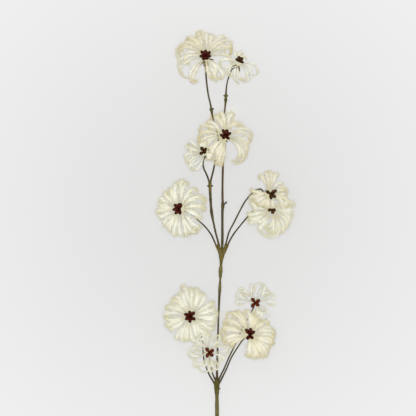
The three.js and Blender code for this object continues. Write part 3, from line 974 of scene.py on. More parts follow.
@dataclass
class SeedStar:
    """The dark star in the middle of a bloom: pointed seeds that spread from a knobbly hub.

    A seed's half width at share t of its length is t^0.9 (1 - t)^0.6, scaled to its own, with
    low ribs along it. It is flatter than wide.
    """

    bloom: Bloom
    length: float = 8.8
    length_scatter: float = 0.06  # as a share
    half_width: float = 2.2
    half_thickness: float = 1.25
    rise: float = 30.0  # degrees above the bloom's plane
    rise_scatter: float = 4.0  # degrees
    bow: float = 0.35
    ribs: int = 5
    rib_height: float = 0.06  # as a share of the width
    rings: int = 20
    sides: int = 14
    hub_radius: float = 1.5
    hub_above: float = 3.3
    hub_rings: int = 13
    hub_sides: int = 24
    knobs_round: int = 6
    knobs_up: int = 5  # to a full turn over the poles
    knob_height: float = 0.09  # as a share of the hub's radius

    def seed(self, number: int, azimuth: float) -> Surface:
        """One seed, as long and as steep as the plain one in the model.

        Args:
            number: How many seeds come before it.
            azimuth: Where it points, in degrees.

        Returns:
            The seed.
        """
        bloom = self.bloom
        count = bloom.scatter_step(number)
        length = bloom.seed_scale * self.length * (1 + self.length_scatter * Scatter.REACH.at(count))
        rise = np.radians(self.rise + self.rise_scatter * Scatter.RISE.at(count))
        way = unit(bloom.outward(azimuth)) * np.cos(rise) + bloom.ahead * np.sin(rise)
        side = unit(np.cross(way, bloom.ahead))
        back = np.cross(side, way)
        share = np.linspace(0.03, 0.985, self.rings)
        swell = share**0.9 * (1 - share) ** 0.6
        swell = np.maximum(swell / swell.max(), 0.06)
        angle = turns(self.sides)
        ribs = 1 + self.rib_height * np.cos(self.ribs * angle) * smooth_step(0.1, 0.4, share)[:, None]
        width = swell[:, None] * ribs
        bow = self.bow * np.sin(np.pi * share)
        line = self.hub + (share * length)[:, None] * way + bow[:, None] * back
        wide, thick = self.half_width * width, self.half_thickness * width
        rings = oval_rings(line, angle, wide, side, thick, -back)
        return ring_surface(rings, (self.hub, self.hub + length * way), 1.0, share)

    @property
    def hub(self) -> Floats:
        """The middle of the hub, above the button."""
        return self.bloom.middle + self.hub_above * self.bloom.ahead

    def knob(self) -> Surface:
        """The hub: a ball whose radius swells and dips in a grid of small knobs.

        Returns:
            The hub, whose radius is its own x (1 + height x cos(6 x angle) x cos(5 x latitude)).
        """
        latitude = np.radians(np.linspace(-80, 80, self.hub_rings))
        angle = turns(self.hub_sides)
        knobs = np.cos(self.knobs_round * angle) * np.cos(self.knobs_up * latitude)[:, None]
        radius = self.hub_radius * (1 + self.knob_height * knobs)
        rings = self.bloom.globe(self.hub, latitude, angle, radius, radius)
        poles = tuple(self.hub + sign * self.hub_radius * self.bloom.ahead for sign in (-1, 1))
        return ring_surface(rings, poles, 1.0, np.linspace(0, 0.3, self.hub_rings))

    def build(self, finish: bpy.types.Material) -> bpy.types.Object:
        """The star as one piece in place of the plain seeds.

        Args:
            finish: Its material.

        Returns:
            The piece.
        """
        seeds = [self.seed(i, azimuth) for i, azimuth in enumerate(self.bloom.seeds)]
        piece = Surface.joined([self.knob(), *seeds]).made(self.bloom.named("star"), GRAIN_MAP, finish)
        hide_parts(self.bloom.named("seeds"))
        return piece


@dataclass(frozen=True)
class Wrap:
    """A stretch wound round with an overlapping strip, from and to a way along the stem."""

    start: float
    end: float
    pitch: float
    height: float
    run_in: float = 1.5

    def above(self, along: Floats, turn: Floats) -> Floats:
        """Its height: height x (1 - s)^0.7 at share s of the strip's width, run in at both ends.

        Args:
            along: The ways along the stem, as a column.
            turn: The angles round it, as a row.

        Returns:
            The height at each point.
        """
        begun = smooth_step(self.start, self.start + self.run_in, along)
        inside = begun - smooth_step(self.end - self.run_in, self.end, along)
        step = (along / self.pitch - turn / (2 * np.pi)) % 1
        return inside * self.height * (1 - step) ** 0.7


@dataclass(frozen=True)
class Lip:
    """A raised ring at a way along the stem."""

    at: float
    height: float
    width: float

    def above(self, along: Floats) -> Floats:
        """Its height: height x exp(-((along - at) / width)^2)."""
        return self.height * np.exp(-(((along - self.at) / self.width) ** 2))


@dataclass(frozen=True)
class Bud:
    """A small bud on the bark: where it starts, the way it points, its length and its radius."""

    at: tuple[float, float, float]
    way: tuple[float, float, float]
    length: float
    radius: float
    rings: int = 9
    sides: int = 10

    def surface(self) -> Surface:
        """The bud: half width radius x (1 - t)^0.5 t^0.35 at share t of its length.

        Returns:
            The bud with its own tone.
        """
        at, way = np.array(self.at), unit(np.array(self.way))
        side = unit(np.cross(way, [0.0, 0.0, 1.0]) + 1e-6)
        share = np.linspace(0.06, 0.95, self.rings)
        swell = share**0.35 * (1 - share) ** 0.5
        width = (self.radius * swell / swell.max())[:, None]
        line = at + (share * self.length)[:, None] * way
        rings = oval_rings(line, turns(self.sides), width, side, width, np.cross(way, side))
        girth = 2 * np.pi * self.radius / GRAIN_UNIT
        bud = ring_surface(rings, (at, at + self.length * way), girth, share * self.length / GRAIN_UNIT)
        bud.tones = np.broadcast_to(np.array(linear(BUD_GREEN)[:3]), (len(bud.points), 3))
        return bud


@dataclass
class Shoot:
    """The main stem or one stalk: bark along a smooth line, with wraps, lips and buds.

    The radius of point (i, j) is the line's radius x (1 + furrows x f + knots x k), with the
    wraps' and lips' height added. f is the sum of two cosines round the girth that wander along
    the length, and k is the product of two sines along it.
    """

    name: str
    stations: list[tuple[float, ...]]  # x, y, z and radius
    tones: tuple[tuple[float, str], ...]  # the bark's colours by the way along it
    sides: int = 12  # of a ring
    spacing: float = 1.1  # between rings
    furrows: float = 0.05  # how deep they are, as a share of the radius
    furrow_counts: tuple[int, int] = (5, 8)  # how many of each kind go round it
    wander: tuple[float, float] = (23, 7.1)  # the way along for a radian of each wander
    knots: float = 0.05  # how much its radius swells along it, as a share
    knot_lengths: tuple[float, float] = (4.3, 11.9)  # the way along for a radian of each sine
    first_side: tuple[float, float, float] = (-1.0, 0.02, 0.03)  # where each ring starts
    wraps: tuple[Wrap, ...] = ()
    lips: tuple[Lip, ...] = ()
    buds: tuple[Bud, ...] = ()

    def toned(self, surface: Surface, way: Floats) -> Surface:
        """Gives each point the tone at its way along the shoot.

        Args:
            surface: The surface.
            way: Each of its points' way along the shoot.

        Returns:
            The same surface.
        """
        stops = np.array([stop for stop, _ in self.tones])
        colours = np.array([linear(code)[:3] for _, code in self.tones])
        surface.tones = sampled(way, stops, colours)
        return surface

    def bark(self, seed: int) -> Surface:
        """The shoot's own surface.

        Args:
            seed: The shoot's number, which sets where its furrows wander.

        Returns:
            The bark.
        """
        line, radius, way = smooth_line(np.array(self.stations, float), self.spacing)
        _, across, up = carried_frames(line, np.array(self.first_side))
        angle = turns(self.sides)
        turn, along = angle[None, :], way[:, None]
        phase = seed * 1.7
        few, many = self.furrow_counts
        slow, fast = self.wander
        short, long = self.knot_lengths
        wander = 0.9 * np.sin(along / slow + phase) + 0.5 * np.sin(along / fast + 2 * phase)
        furrow = 0.6 * np.cos(few * turn + wander) + 0.4 * np.cos(many * turn - 1.6 * wander + phase)
        knot = np.sin(along / short + phase) * np.sin(along / long + 2.3 * phase)
        wide = radius[:, None] * (1 + self.furrows * furrow + self.knots * knot)
        for wrap in self.wraps:
            wide = wide + wrap.above(along, turn)
        for lip in self.lips:
            wide = wide + lip.above(along)
        rings = oval_rings(line, angle, wide, across, wide, up)
        girth = 2 * np.pi * radius.mean() / GRAIN_UNIT
        surface = ring_surface(rings, (line[0], line[-1]), girth, way / GRAIN_UNIT)
        return self.toned(surface, np.concatenate([np.repeat(way, self.sides), way[[0, -1]]]))

    def build(self, seed: int, finish: bpy.types.Material) -> bpy.types.Object:
        """The shoot with its buds as one piece, which stands for its share of the plain stem.

        Args:
            seed: The shoot's number.
            finish: Its material.

        Returns:
            The piece.
        """
        surfaces = [self.bark(seed), *(bud.surface() for bud in self.buds)]
        piece = Surface.joined(surfaces).made(self.name, GRAIN_MAP, finish)
        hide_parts("stem")
        return piece


@dataclass
class Calyx:
    """The narrow dry sepals that spread under a bloom from its stalk's swollen end.

    Point (s, t) of a sepal lies s along its length and t across it: half width x
    sin(pi s^0.8)^0.7 wide, and it bends down by the square of s.
    """

    bloom: Bloom
    length: float = 10.0
    worn_share: float = 0.5  # of the length, which is left of most of them
    half_width: float = 1.15
    thickness: float = 0.32
    starts_at: float = 0.8
    below: float = 2.5
    droop: float = 1.6
    point: float = 0.3
    rings: int = 12
    sides: int = 10

    def sepal(self, azimuth: float) -> Surface:
        """One sepal, thickest along its middle. Only the two top blooms keep theirs whole.

        Args:
            azimuth: Where it points, in degrees.

        Returns:
            The sepal.
        """
        length = self.length * (1 if self.bloom.number in TOP_BLOOMS else self.worn_share)
        ahead = self.bloom.ahead
        level = unit(self.bloom.outward(azimuth))
        share = np.linspace(0.02, 0.98, self.rings)
        swell = (np.sin(np.pi * share**0.8) ** 0.7)[:, None]
        reach = self.starts_at + share * length * 0.97
        drop = self.below + self.droop * share**2
        line = self.bloom.middle + reach[:, None] * level - drop[:, None] * ahead
        wide, thick = self.half_width * swell, self.thickness * swell**0.5
        rings = oval_rings(line, turns(self.sides), wide, np.cross(ahead, level), thick, ahead)
        poles = (line[0] - self.point * level, line[-1] + self.point * level)
        return ring_surface(rings, poles, 0.3, share)

    def build(self, finish: bpy.types.Material) -> bpy.types.Object:
        """The sepals of a bloom as one piece.

        Args:
            finish: Its material.

        Returns:
            The piece.
        """
        sepals = [self.sepal(azimuth) for azimuth in self.bloom.sepals]
        piece = Surface.joined(sepals).made(self.bloom.named("calyx"), GRAIN_MAP, finish)
        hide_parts("stem")
        return piece


@dataclass(frozen=True)
class SilkFinish:
    """Silky seed hair, dry and bleached by age: a soft dull cream, yellower towards the curled
    ends of the tails and a little greyer down by the button. The darker curled ends and the
    greyer button are partly painted shade, where the tails curl under and under the seeds.
    """

    name: str
    tones: Silk
    ior: float = 1.5
    specular: float = 0.15
    roughness: tuple[float, float] = (0.75, 0.5)  # at a hair's root and at its tip
    tail_length: float = 46.0
    blotch: float = 3.0  # mm across
    tail_tint: float = 0.8  # how much the tails differ
    blotch_tint: float = 0.7

    def material(self) -> bpy.types.Material:
        """Colour by the way along the tail, the way along the hair, and the tail.

        Returns:
            The material.
        """
        crown, body, rim, tip, end_tint, patch_tint = self.tones.value
        material, tree, shader = new_material(self.name)
        split = add_node(tree, "SeparateXYZ", {}, {0: add_node(tree, "UVMap", {"uv_map": HAIR_MAP})})
        way, band = split.outputs["X"], split.outputs["Y"]
        # The crown, rim and tip tones are darker partly as painted shade: under the seed star, and where
        # the tails curl under.
        stops = ((0.0, crown), (0.14, crown), (0.36, body), (0.56, body), (0.74, rim), (1.0, tip))
        along = add_node(tree, "ValToRGB", {}, {0: way}, stops)
        banded = add_node(tree, "Math", {"operation": "MULTIPLY"}, {0: band, 1: float(TAIL_BANDS)})
        hair = add_node(tree, "Math", {"operation": "FRACT"}, {0: banded})
        tail = add_node(tree, "Math", {"operation": "FLOOR"}, {0: banded})
        ends = add_node(tree, "ValToRGB", {}, {0: hair}, ((0.5, WHITE), (0.9, end_tint)))
        ended = add_node(tree, "Mix", MULTIPLY, {FACTOR: 1.0, LOWER: along, UPPER: ends})
        each = add_node(tree, "TexWhiteNoise", {"noise_dimensions": "1D"}, {"W": tail})
        tinted = add_node(tree, "ValToRGB", {}, {0: each}, ((0.0, WHITE), (1.0, patch_tint)))
        by_tail = add_node(tree, "Mix", MULTIPLY, {FACTOR: self.tail_tint, LOWER: ended, UPPER: tinted})
        spots = add_node(tree, "CombineXYZ", {}, {0: way, 1: tail, 2: 0.0})
        scale = self.tail_length / self.blotch
        noise = add_node(tree, "TexNoise", {}, {"Vector": spots, "Scale": scale, "Detail": 2.0})
        patched = add_node(tree, "ValToRGB", {}, {0: noise}, ((0.42, WHITE), (0.68, patch_tint)))
        mixed = {FACTOR: self.blotch_tint, LOWER: by_tail, UPPER: patched}
        colour = add_node(tree, "Mix", MULTIPLY, mixed)
        root, end = self.roughness
        rough = add_node(tree, "MapRange", {}, {0: hair, TO_MIN: root, TO_MAX: end})
        values = {"IOR": self.ior, "Specular IOR Level": self.specular}
        set_inputs(tree, shader, {"Base Color": colour, "Roughness": rough, **values})
        return material


@dataclass(frozen=True)
class SeedCoatFinish:
    """A hard, smooth seed coat, as on an apple pip: maroon to olive brown with fine lengthwise
    streaks, whose pale raised ones are partly a painted highlight, with painted shade along both
    edges and a low sheen.
    """

    name: str
    tones: SeedCoat
    ior: float = 1.5
    specular: float = 0.08
    roughness: tuple[float, float] = (0.28, 0.5)
    streaks: tuple[float, float] = (9.0, 1.5)  # round the seed and along it
    edge: str = "#6a5a55"  # painted shade: how dark the edges are made beside the middle
    relief: float = 0.12  # mm

    def material(self) -> bpy.types.Material:
        """Streaks along the seed, which are also its low and its dull places. The pale raised streaks
        are partly a painted highlight, and both edges are darkened as painted shade.

        Returns:
            The material.
        """
        dark, middle, pale = self.tones.value
        material, tree, shader = new_material(self.name)
        uv = add_node(tree, "UVMap", {"uv_map": GRAIN_MAP})
        stretched = add_node(tree, "Mapping", {}, {"Vector": uv, "Scale": (*self.streaks, 1.0)})
        noise = add_node(tree, "TexNoise", {}, {"Vector": stretched, "Scale": 1.6, "Detail": 4.0})
        # The pale stop is partly a painted highlight along the raised streaks.
        colour = add_node(tree, "ValToRGB", {}, {0: noise}, ((0.3, dark), (0.52, middle), (0.74, pale)))
        # Painted shade: each seed darkens towards both its edges, by |cos| of the way round it.
        round_it = add_node(tree, "SeparateXYZ", {}, {0: uv}).outputs["X"]
        turned = add_node(tree, "Math", {"operation": "MULTIPLY"}, {0: round_it, 1: 2 * np.pi})
        sideways = add_node(tree, "Math", {"operation": "COSINE"}, {0: turned})
        edge = add_node(tree, "Math", {"operation": "ABSOLUTE"}, {0: sideways})
        edge_painted_shade = add_node(tree, "ValToRGB", {}, {0: edge}, ((0.55, WHITE), (0.85, self.edge)))
        shaded = add_node(tree, "Mix", MULTIPLY, {FACTOR: 1.0, LOWER: colour, UPPER: edge_painted_shade})
        smooth, dull = self.roughness
        rough = add_node(tree, "MapRange", {}, {0: noise, TO_MIN: smooth, TO_MAX: dull})
        relief = {"Height": noise, "Distance": self.relief * MM, "Strength": 0.6}
        bump = add_node(tree, "Bump", {}, relief)
        values = {"IOR": self.ior, "Specular IOR Level": self.specular, "Normal": bump}
        set_inputs(tree, shader, {"Base Color": shaded, "Roughness": rough, **values})
        return material


@dataclass(frozen=True)
class BarkFinish:
    """Thin dry bark on a vine's shoot: stringy, split lengthwise into fine furrows, dull, and
    olive to mauve brown by the age of each stretch, with paler and darker fibres.
    """

    name: str
    ior: float = 1.45
    specular: float = 0.2
    roughness: tuple[float, float] = (0.62, 0.85)
    fibre: float = 0.5  # mm across a fibre, drawn coarse enough to show
    fibre_length: float = 9.0  # mm
    fibre_tones: tuple[str, str, str] = ("#6e6a66", "#bdbab4", "#f2efe6")
    patch: float = 6.0  # mm
    stain: str = "#d9cdb8"
    relief: float = 0.25  # mm

    def material(self) -> bpy.types.Material:
        """The stretch's tone, darkened in the furrows and lightened on the fibres.

        Returns:
            The material.
        """
        material, tree, shader = new_material(self.name)
        tone = add_node(tree, "Attribute", {"attribute_name": TONE}).outputs["Color"]
        uv = add_node(tree, "UVMap", {"uv_map": GRAIN_MAP})
        scale = (GRAIN_UNIT / self.fibre, GRAIN_UNIT / self.fibre_length, 1.0)
        stretched = add_node(tree, "Mapping", {}, {"Vector": uv, "Scale": scale})
        fibres = add_node(tree, "TexNoise", {}, {"Vector": stretched, "Scale": 1.0, "Detail": 5.0})
        coarse = {"Vector": uv, "Scale": GRAIN_UNIT / self.patch, "Detail": 3.0}
        patches = add_node(tree, "TexNoise", {}, coarse)
        shades = tuple(zip((0.3, 0.5, 0.68), self.fibre_tones))
        light = add_node(tree, "ValToRGB", {}, {0: fibres}, shades)
        furrowed = add_node(tree, "Mix", OVERLAY, {FACTOR: 0.75, LOWER: tone, UPPER: light})
        stain = add_node(tree, "ValToRGB", {}, {0: patches}, ((0.4, self.stain), (0.62, WHITE)))
        colour = add_node(tree, "Mix", MULTIPLY, {FACTOR: 0.8, LOWER: furrowed, UPPER: stain})
        ridge, groove = self.roughness
        rough = add_node(tree, "MapRange", {}, {0: fibres, TO_MIN: ridge, TO_MAX: groove})
        relief = {"Height": fibres, "Distance": self.relief * MM, "Strength": 0.8}
        bump = add_node(tree, "Bump", {}, relief)
        values = {"IOR": self.ior, "Specular IOR Level": self.specular, "Normal": bump}
        set_inputs(tree, shader, {"Base Color": colour, "Roughness": rough, **values})
        return material


@dataclass(frozen=True)
class SepalFinish:
    """A dry sepal: papery and dull, brown with darker veins that run to its point."""

    name: str = "dry sepal"
    ior: float = 1.45
    roughness: float = 0.7
    veins: tuple[float, float] = (40.0, 2.0)  # across the sepal and along it
    tones: tuple[str, str, str] = ("#3a2e1c", "#5f4f2e", "#866f44")
    relief: float = 0.1  # mm

    def material(self) -> bpy.types.Material:
        """Brown between dark veins.

        Returns:
            The material.
        """
        material, tree, shader = new_material(self.name)
        uv = add_node(tree, "UVMap", {"uv_map": GRAIN_MAP})
        stretched = add_node(tree, "Mapping", {}, {"Vector": uv, "Scale": (*self.veins, 1.0)})
        noise = add_node(tree, "TexNoise", {}, {"Vector": stretched, "Scale": 1.0, "Detail": 3.0})
        colour = add_node(tree, "ValToRGB", {}, {0: noise}, tuple(zip((0.34, 0.5, 0.7), self.tones)))
        relief = {"Height": noise, "Distance": self.relief * MM, "Strength": 0.6}
        bump = add_node(tree, "Bump", {}, relief)
        values = {"IOR": self.ior, "Roughness": self.roughness, "Normal": bump}
        set_inputs(tree, shader, {"Base Color": colour, **values})
        return material


@dataclass
class Studio:
    """A pale floor, plain soft light and a camera that looks straight down on the spray's front."""

    aim: tuple[float, float, float] = (-10.8, 389.6, 25.0)  # what the picture's middle shows
    height: float = 6000.0  # of the camera above the aim
    width: float = 499.2  # how much of the aim's plane the picture shows
    sensor: float = 36.0
    clip_end: float = 100.0  # m
    surround: float = 0.257  # the strength of the light from all round
    lamp_height: float = 8.0  # m above the aim
    lamp_size: float = 0.45  # m
    lamp_power: float = 540.0  # W
    floor_half: float = 3.0  # m
    floor_light_falloff: tuple[float, float] = (0.1, 0.36)  # m from the aim, where the painted light falloff lightens the floor
    floor_tones: tuple[str, str] = ("#d9d9d9", "#e6e6e6")

    @property
    def aimed_at(self) -> Floats:
        """The aim in the model's frame, in metres."""
        return (np.array(self.aim) - OUTLINE_MIDDLE) * MM

    def camera(self) -> None:
        """The camera: lens = sensor x height / width."""
        data = bpy.data.cameras.new("camera")
        data.sensor_width = self.sensor
        data.lens = self.sensor * self.height / self.width
        data.clip_end = self.clip_end
        camera = bpy.data.objects.new("camera", data)
        camera.location = (np.array(self.aim) - OUTLINE_MIDDLE + [0, 0, self.height]) * MM
        bpy.context.scene.collection.objects.link(camera)
        bpy.context.scene.camera = camera

    def floor(self) -> None:
        """A flat sheet of matt pale paper, painted darker near the aim and lighter further out as
        painted light falloff.
        """
        half = self.floor_half
        mesh = bpy.data.meshes.new("floor")
        corners = [(-half, -half, 0), (half, -half, 0), (half, half, 0), (-half, half, 0)]
        mesh.from_pydata(corners, [], [(0, 1, 2, 3)])
        material, tree, shader = new_material("matt paper")
        place = add_node(tree, "TexCoord").outputs["Object"]
        apart = {0: place, 1: tuple(self.aimed_at)}
        out = add_node(tree, "VectorMath", {"operation": "DISTANCE"}, apart).outputs["Value"]
        # Painted light falloff: the darker tone near the aim, the lighter one further out.
        colour = add_node(tree, "ValToRGB", {}, {0: out}, tuple(zip(self.floor_light_falloff, self.floor_tones)))
        set_inputs(tree, shader, {"Base Color": colour, "Roughness": 0.95, "Specular IOR Level": 0.1})
        mesh.materials.append(material)
        floor = bpy.data.objects.new("floor", mesh)
        bpy.context.scene.collection.objects.link(floor)

    def lights(self) -> None:
        """An even white surround and one round lamp above the camera, on its axis."""
        world = bpy.data.worlds.new("white surround")
        world.use_nodes = True
        background = world.node_tree.nodes["Background"]
        background.inputs["Color"].default_value = linear(WHITE)
        background.inputs["Strength"].default_value = self.surround
        bpy.context.scene.world = world
        data = bpy.data.lights.new("round lamp", "AREA")
        data.shape = "DISK"
        data.size = self.lamp_size
        data.energy = self.lamp_power
        lamp = bpy.data.objects.new("round lamp", data)
        lamp.location = self.aimed_at + [0, 0, self.lamp_height]
        bpy.context.scene.collection.objects.link(lamp)

    def build(self) -> None:
        """The whole studio, shown with plain colours."""
        self.camera()
        self.floor()
        self.lights()
        bpy.context.scene.view_settings.view_transform = "Standard"


# The blooms, in the order that they are made: those in front come last.
BLOOMS = (
    Bloom(
        number=8,
        at=(-32.3, 259.4, 24),
        facing=(0, 0, 1),
        curl=Curl.HOOKED,
        seeds=(95, 47, -30, -90, 212, 153),
        fans=(
            (16, 34, 3, 32, 32), (48, 100, 7, 31, 36, -12), (106, 170, 6, 30, 30, -28),
            (180, 216, 5, 30, 30), (233, 277, 5, 30, 29), (286, 298, 2, 24, 24),
            (308, 366, 7, 30, 32),
        ),
        sepals=(30, 120, 210, 300),
    ),
    Bloom(
        number=11,
        at=(39, 236.4, 25),
        facing=(0, 0.3, 0.95),
        curl=Curl.HOOKED,
        seeds=(129, 78, 27, -54, 247),
        fans=(
            (92, 120, 4, 28, 33.5, -22), (128, 167, 5, 34.8, 34.6, -24), (178, 198, 3, 31, 32),
            (202, 208, 1, 24, 24), (46, 88, 4, 21, 27, 12), (26, 36, 2, 27, 27.4, 24),
            (1, 12, 2, 28.5, 28.5, 20), (-31, -7, 4, 27.5, 28.5, 12), (-51, -43, 2, 31.5, 32),
            (-78, -58, 4, 28.4, 30.2), (-94, -86, 2, 25.5, 25.5),
        ),
        sepals=(20, 110, 200, 290),
        silk=Silk.CREAM,
    ),
    Bloom(
        number=5,
        at=(-43.3, 388.4, 27),
        facing=(-0.4, 0, 0.9),
        curl=Curl.HOOKED,
        seeds=(85, 132, 187, 237, 291, 62),
        fans=(
            (-28, 70, 8, 27, 30, 34), (80, 98, 3, 33, 33), (106, 137, 4, 29, 26),
            (148, 172, 3, 27, 27), (183, 205, 3, 28, 28), (213, 268, 7, 28, 32),
            (278, 320, 5, 33, 33),
        ),
        sepals=(45, 135, 225, 315),
    ),
    Bloom(
        number=7,
        at=(65.4, 388.6, 27),
        facing=(0.05, -0.35, 0.93),
        curl=Curl.ARCHED,
        seeds=(12, 172, -60),
        fans=(
            (140, 150, 1, 26, 26), (165, 180, 3, 25.5, 25.5), (194, 206, 3, 27.5, 28),
            (212, 226, 3, 30.7, 30.7), (240, 250, 2, 29, 29), (264, 280, 3, 28.6, 28.6, 40),
            (-72, -46, 4, 30, 28.6, 60), (-38, -16, 3, 26, 25, 65), (-6, 10, 3, 26, 26, 40),
        ),
        sepals=(50, 140, 230, 320),
        seed_scale=0.62,
        coat=SeedCoat.OLIVE,
        hair_scale=0.9,
    ),
    Bloom(
        number=3,
        at=(9.7, 474.2, 30),
        facing=(0.1, 0.5, 0.86),
        curl=Curl.ARCHED,
        seeds=(122, 73, 15, -55, 191, 236),
        fans=(
            (72, 98, 6, 30, 30), (52, 64, 2, 22, 22, 50), (102, 126, 4, 27, 29),
            (148, 200, 6, 31, 31, -26), (213, 237, 4, 31, 31), (245, 262, 4, 29, 36),
            (-50, 18, 7, 29.5, 30.5, 56),
        ),
        sepals=(40, 130, 220, 310),
        silk=Silk.CREAM,
        hair_scale=0.86,
    ),
    Bloom(
        number=1,
        at=(-13.8, 569.6, 34),
        facing=(0, 0.45, 0.9),
        curl=Curl.ARCHED,
        seeds=(90, 138, 34, 194, -15, 246, 294),
        fans=(
            (82, 102, 3, 31, 31), (68, 80, 2, 29, 29), (14, 68, 7, 31, 34, 24),
            (114, 146, 5, 28, 35, -24), (146, 190, 5, 30.5, 31, -32), (222, 236, 2, 31, 31, -18),
            (276, 286, 1, 27, 27, -20), (294, 328, 3, 28, 31, 8),
        ),
        sepals=(228, 258, 295, 356, 110),
        silk=Silk.CREAM,
        hair_scale=0.82,
    ),
    Bloom(
        number=2,
        at=(26, 563.6, 27),
        facing=(0.25, 0.6, 0.76),
        curl=Curl.ARCHED,
        seeds=(108, 43, 177, -42),
        fans=(
            (-48, -34, 3, 24, 24, 80), (-14, -4, 1, 16, 16, 80), (250, 264, 2, 24.5, 24.5, -50),
            (70, 110, 3, 13, 13, 60), (158, 172, 2, 22.8, 22.8, -85), (203, 217, 2, 20, 20, -85),
        ),
        sepals=(285, 15, 105, 195),
        seed_scale=0.76,
        hair_scale=0.56,
        hair_share=0.65,
        coat=SeedCoat.OLIVE,
    ),
    Bloom(
        number=9,
        at=(-9.6, 216.8, 31),
        facing=(0, 0, 1),
        curl=Curl.LOOPED,
        seeds=(125, 29, -43, 244),
        fans=(
            (190, 201, 2, 22, 21.5), (213, 219, 1, 24, 24), (239, 244, 2, 25.5, 25),
            (262, 268, 2, 24, 24), (282, 290, 2, 24, 23), (-46, -34, 2, 19, 19), (0, 12, 2, 23, 23),
            (44, 58, 2, 23, 22), (80, 106, 3, 20, 23), (135, 160, 4, 23, 24),
        ),
        sepals=(10, 100, 190, 280),
        coat=SeedCoat.BROWN,
        seed_scale=0.9,
        hair_scale=0.6,
        hair_share=0.6,
    ),
    Bloom(
        number=4,
        at=(-14.3, 456.2, 46),
        facing=(-0.45, 0.25, 0.85),
        curl=Curl.ARCHED,
        seeds=(112, 33, -30, 231),
        fans=(
            (136, 152, 3, 20.6, 21), (160, 174, 3, 23, 24), (186, 206, 4, 25.5, 25.5),
            (224, 232, 2, 25, 25, 75), (86, 112, 3, 12, 11), (-50, -30, 2, 9.5, 9.5),
        ),
        sepals=(60, 150, 240, 330),
        seed_scale=0.75,
        coat=SeedCoat.OLIVE,
        hair_scale=0.62,
        hair_share=0.65,
    ),
    Bloom(
        number=6,
        at=(61.8, 406.8, 54),
        facing=(0.5, 0.08, 0.86),
        curl=Curl.ARCHED,
        seeds=(32, -47, 259, 165),
        fans=(
            (64, 110, 6, 26, 24.5, 22), (244, 300, 3, 15, 16), (30, 44, 2, 22, 20, 45),
            (-6, 6, 2, 21, 21), (-20, -12, 2, 22.5, 22.5), (-28, -20, 3, 28, 28, 20),
            (168, 182, 3, 23.5, 23.5), (200, 214, 2, 21, 21), (230, 244, 2, 18.6, 18.6),
        ),
        sepals=(25, 115, 205, 295),
        silk=Silk.CREAM,
        coat=SeedCoat.OLIVE,
        hair_scale=0.68,
        hair_share=0.75,
    ),
    Bloom(
        number=10,
        at=(45.4, 276.6, 52),
        facing=(0, 0, 1),
        curl=Curl.LOOPED,
        seeds=(129, 31, -38, 233),
        fans=(
            (-2, 10, 2, 23.6, 23.6), (41, 61, 3, 22, 22), (96, 106, 2, 21.4, 21.4),
            (125, 135, 2, 22.8, 22.8), (159, 167, 2, 23.4, 23.4), (-37, -29, 1, 23.2, 23.2, 85),
            (-78, -50, 4, 16, 17),
        ),
        sepals=(45, 135, 225, 315),
        coat=SeedCoat.BROWN,
        seed_scale=0.88,
        hair_scale=0.58,
        hair_share=0.55,
    ),
)

# The main stem from its cut end to the neck of the topmost small bloom: x, y, z and radius.
MAIN_STEM = [
    (0.2, 0, 2.2, 2.35), (0.2, 90, 2.2, 2.35), (0.1, 150, 2.2, 2.3), (0, 160, 2.3, 2.15),
    (-0.1, 168, 2.9, 2.3), (-0.1, 172, 3.2, 2.9), (-0.1, 178, 3.4, 3.1), (0, 182.5, 3.4, 2.2),
    (0, 188, 3.4, 1.35), (0.4, 207, 3.6, 1.25), (1, 231, 3.9, 1.1), (2.3, 269, 4.1, 1.15),
    (2.9, 283, 4.2, 1.5), (3.5, 294, 4.4, 1.85), (3.9, 303, 4.5, 1.15), (4.2, 309, 4.6, 1.9),
    (4.4, 314, 4.6, 2.45), (4.8, 320, 4.7, 1.65), (5.1, 326, 4.8, 1.9), (5.6, 332, 5, 3),
    (6, 338, 5.2, 3.2), (6.3, 343, 5.3, 1.5), (6.5, 352, 5.6, 1.55), (6.5, 372, 6, 1.5),
    (6.7, 387, 6.4, 1.55), (7.1, 392.5, 6.6, 2), (6.8, 399, 6.9, 1.4), (6.7, 417, 7.3, 1.25),
    (7.2, 441, 8.3, 1.2), (7.9, 468, 9.9, 1.2), (8.6, 495, 12, 1.05), (9.7, 511, 13.4, 0.95),
    (10.3, 516.5, 14, 1.2), (10.5, 519.5, 14.3, 2.05), (10.7, 522.5, 14.6, 1.3),
    (11.2, 533, 15.8, 0.85), (12.4, 541, 16.8, 0.8), (15.2, 549.8, 18, 0.75),
    (18.6, 556.8, 19.2, 0.75),
]
SIDE_STUB = [
    (7, 391, 6.6, 1.2), (9.2, 394.4, 7, 0.85), (10.2, 395.4, 7.2, 0.9), (11, 396.2, 7.4, 1.25),
    (11.9, 397, 7.6, 0.7),
]

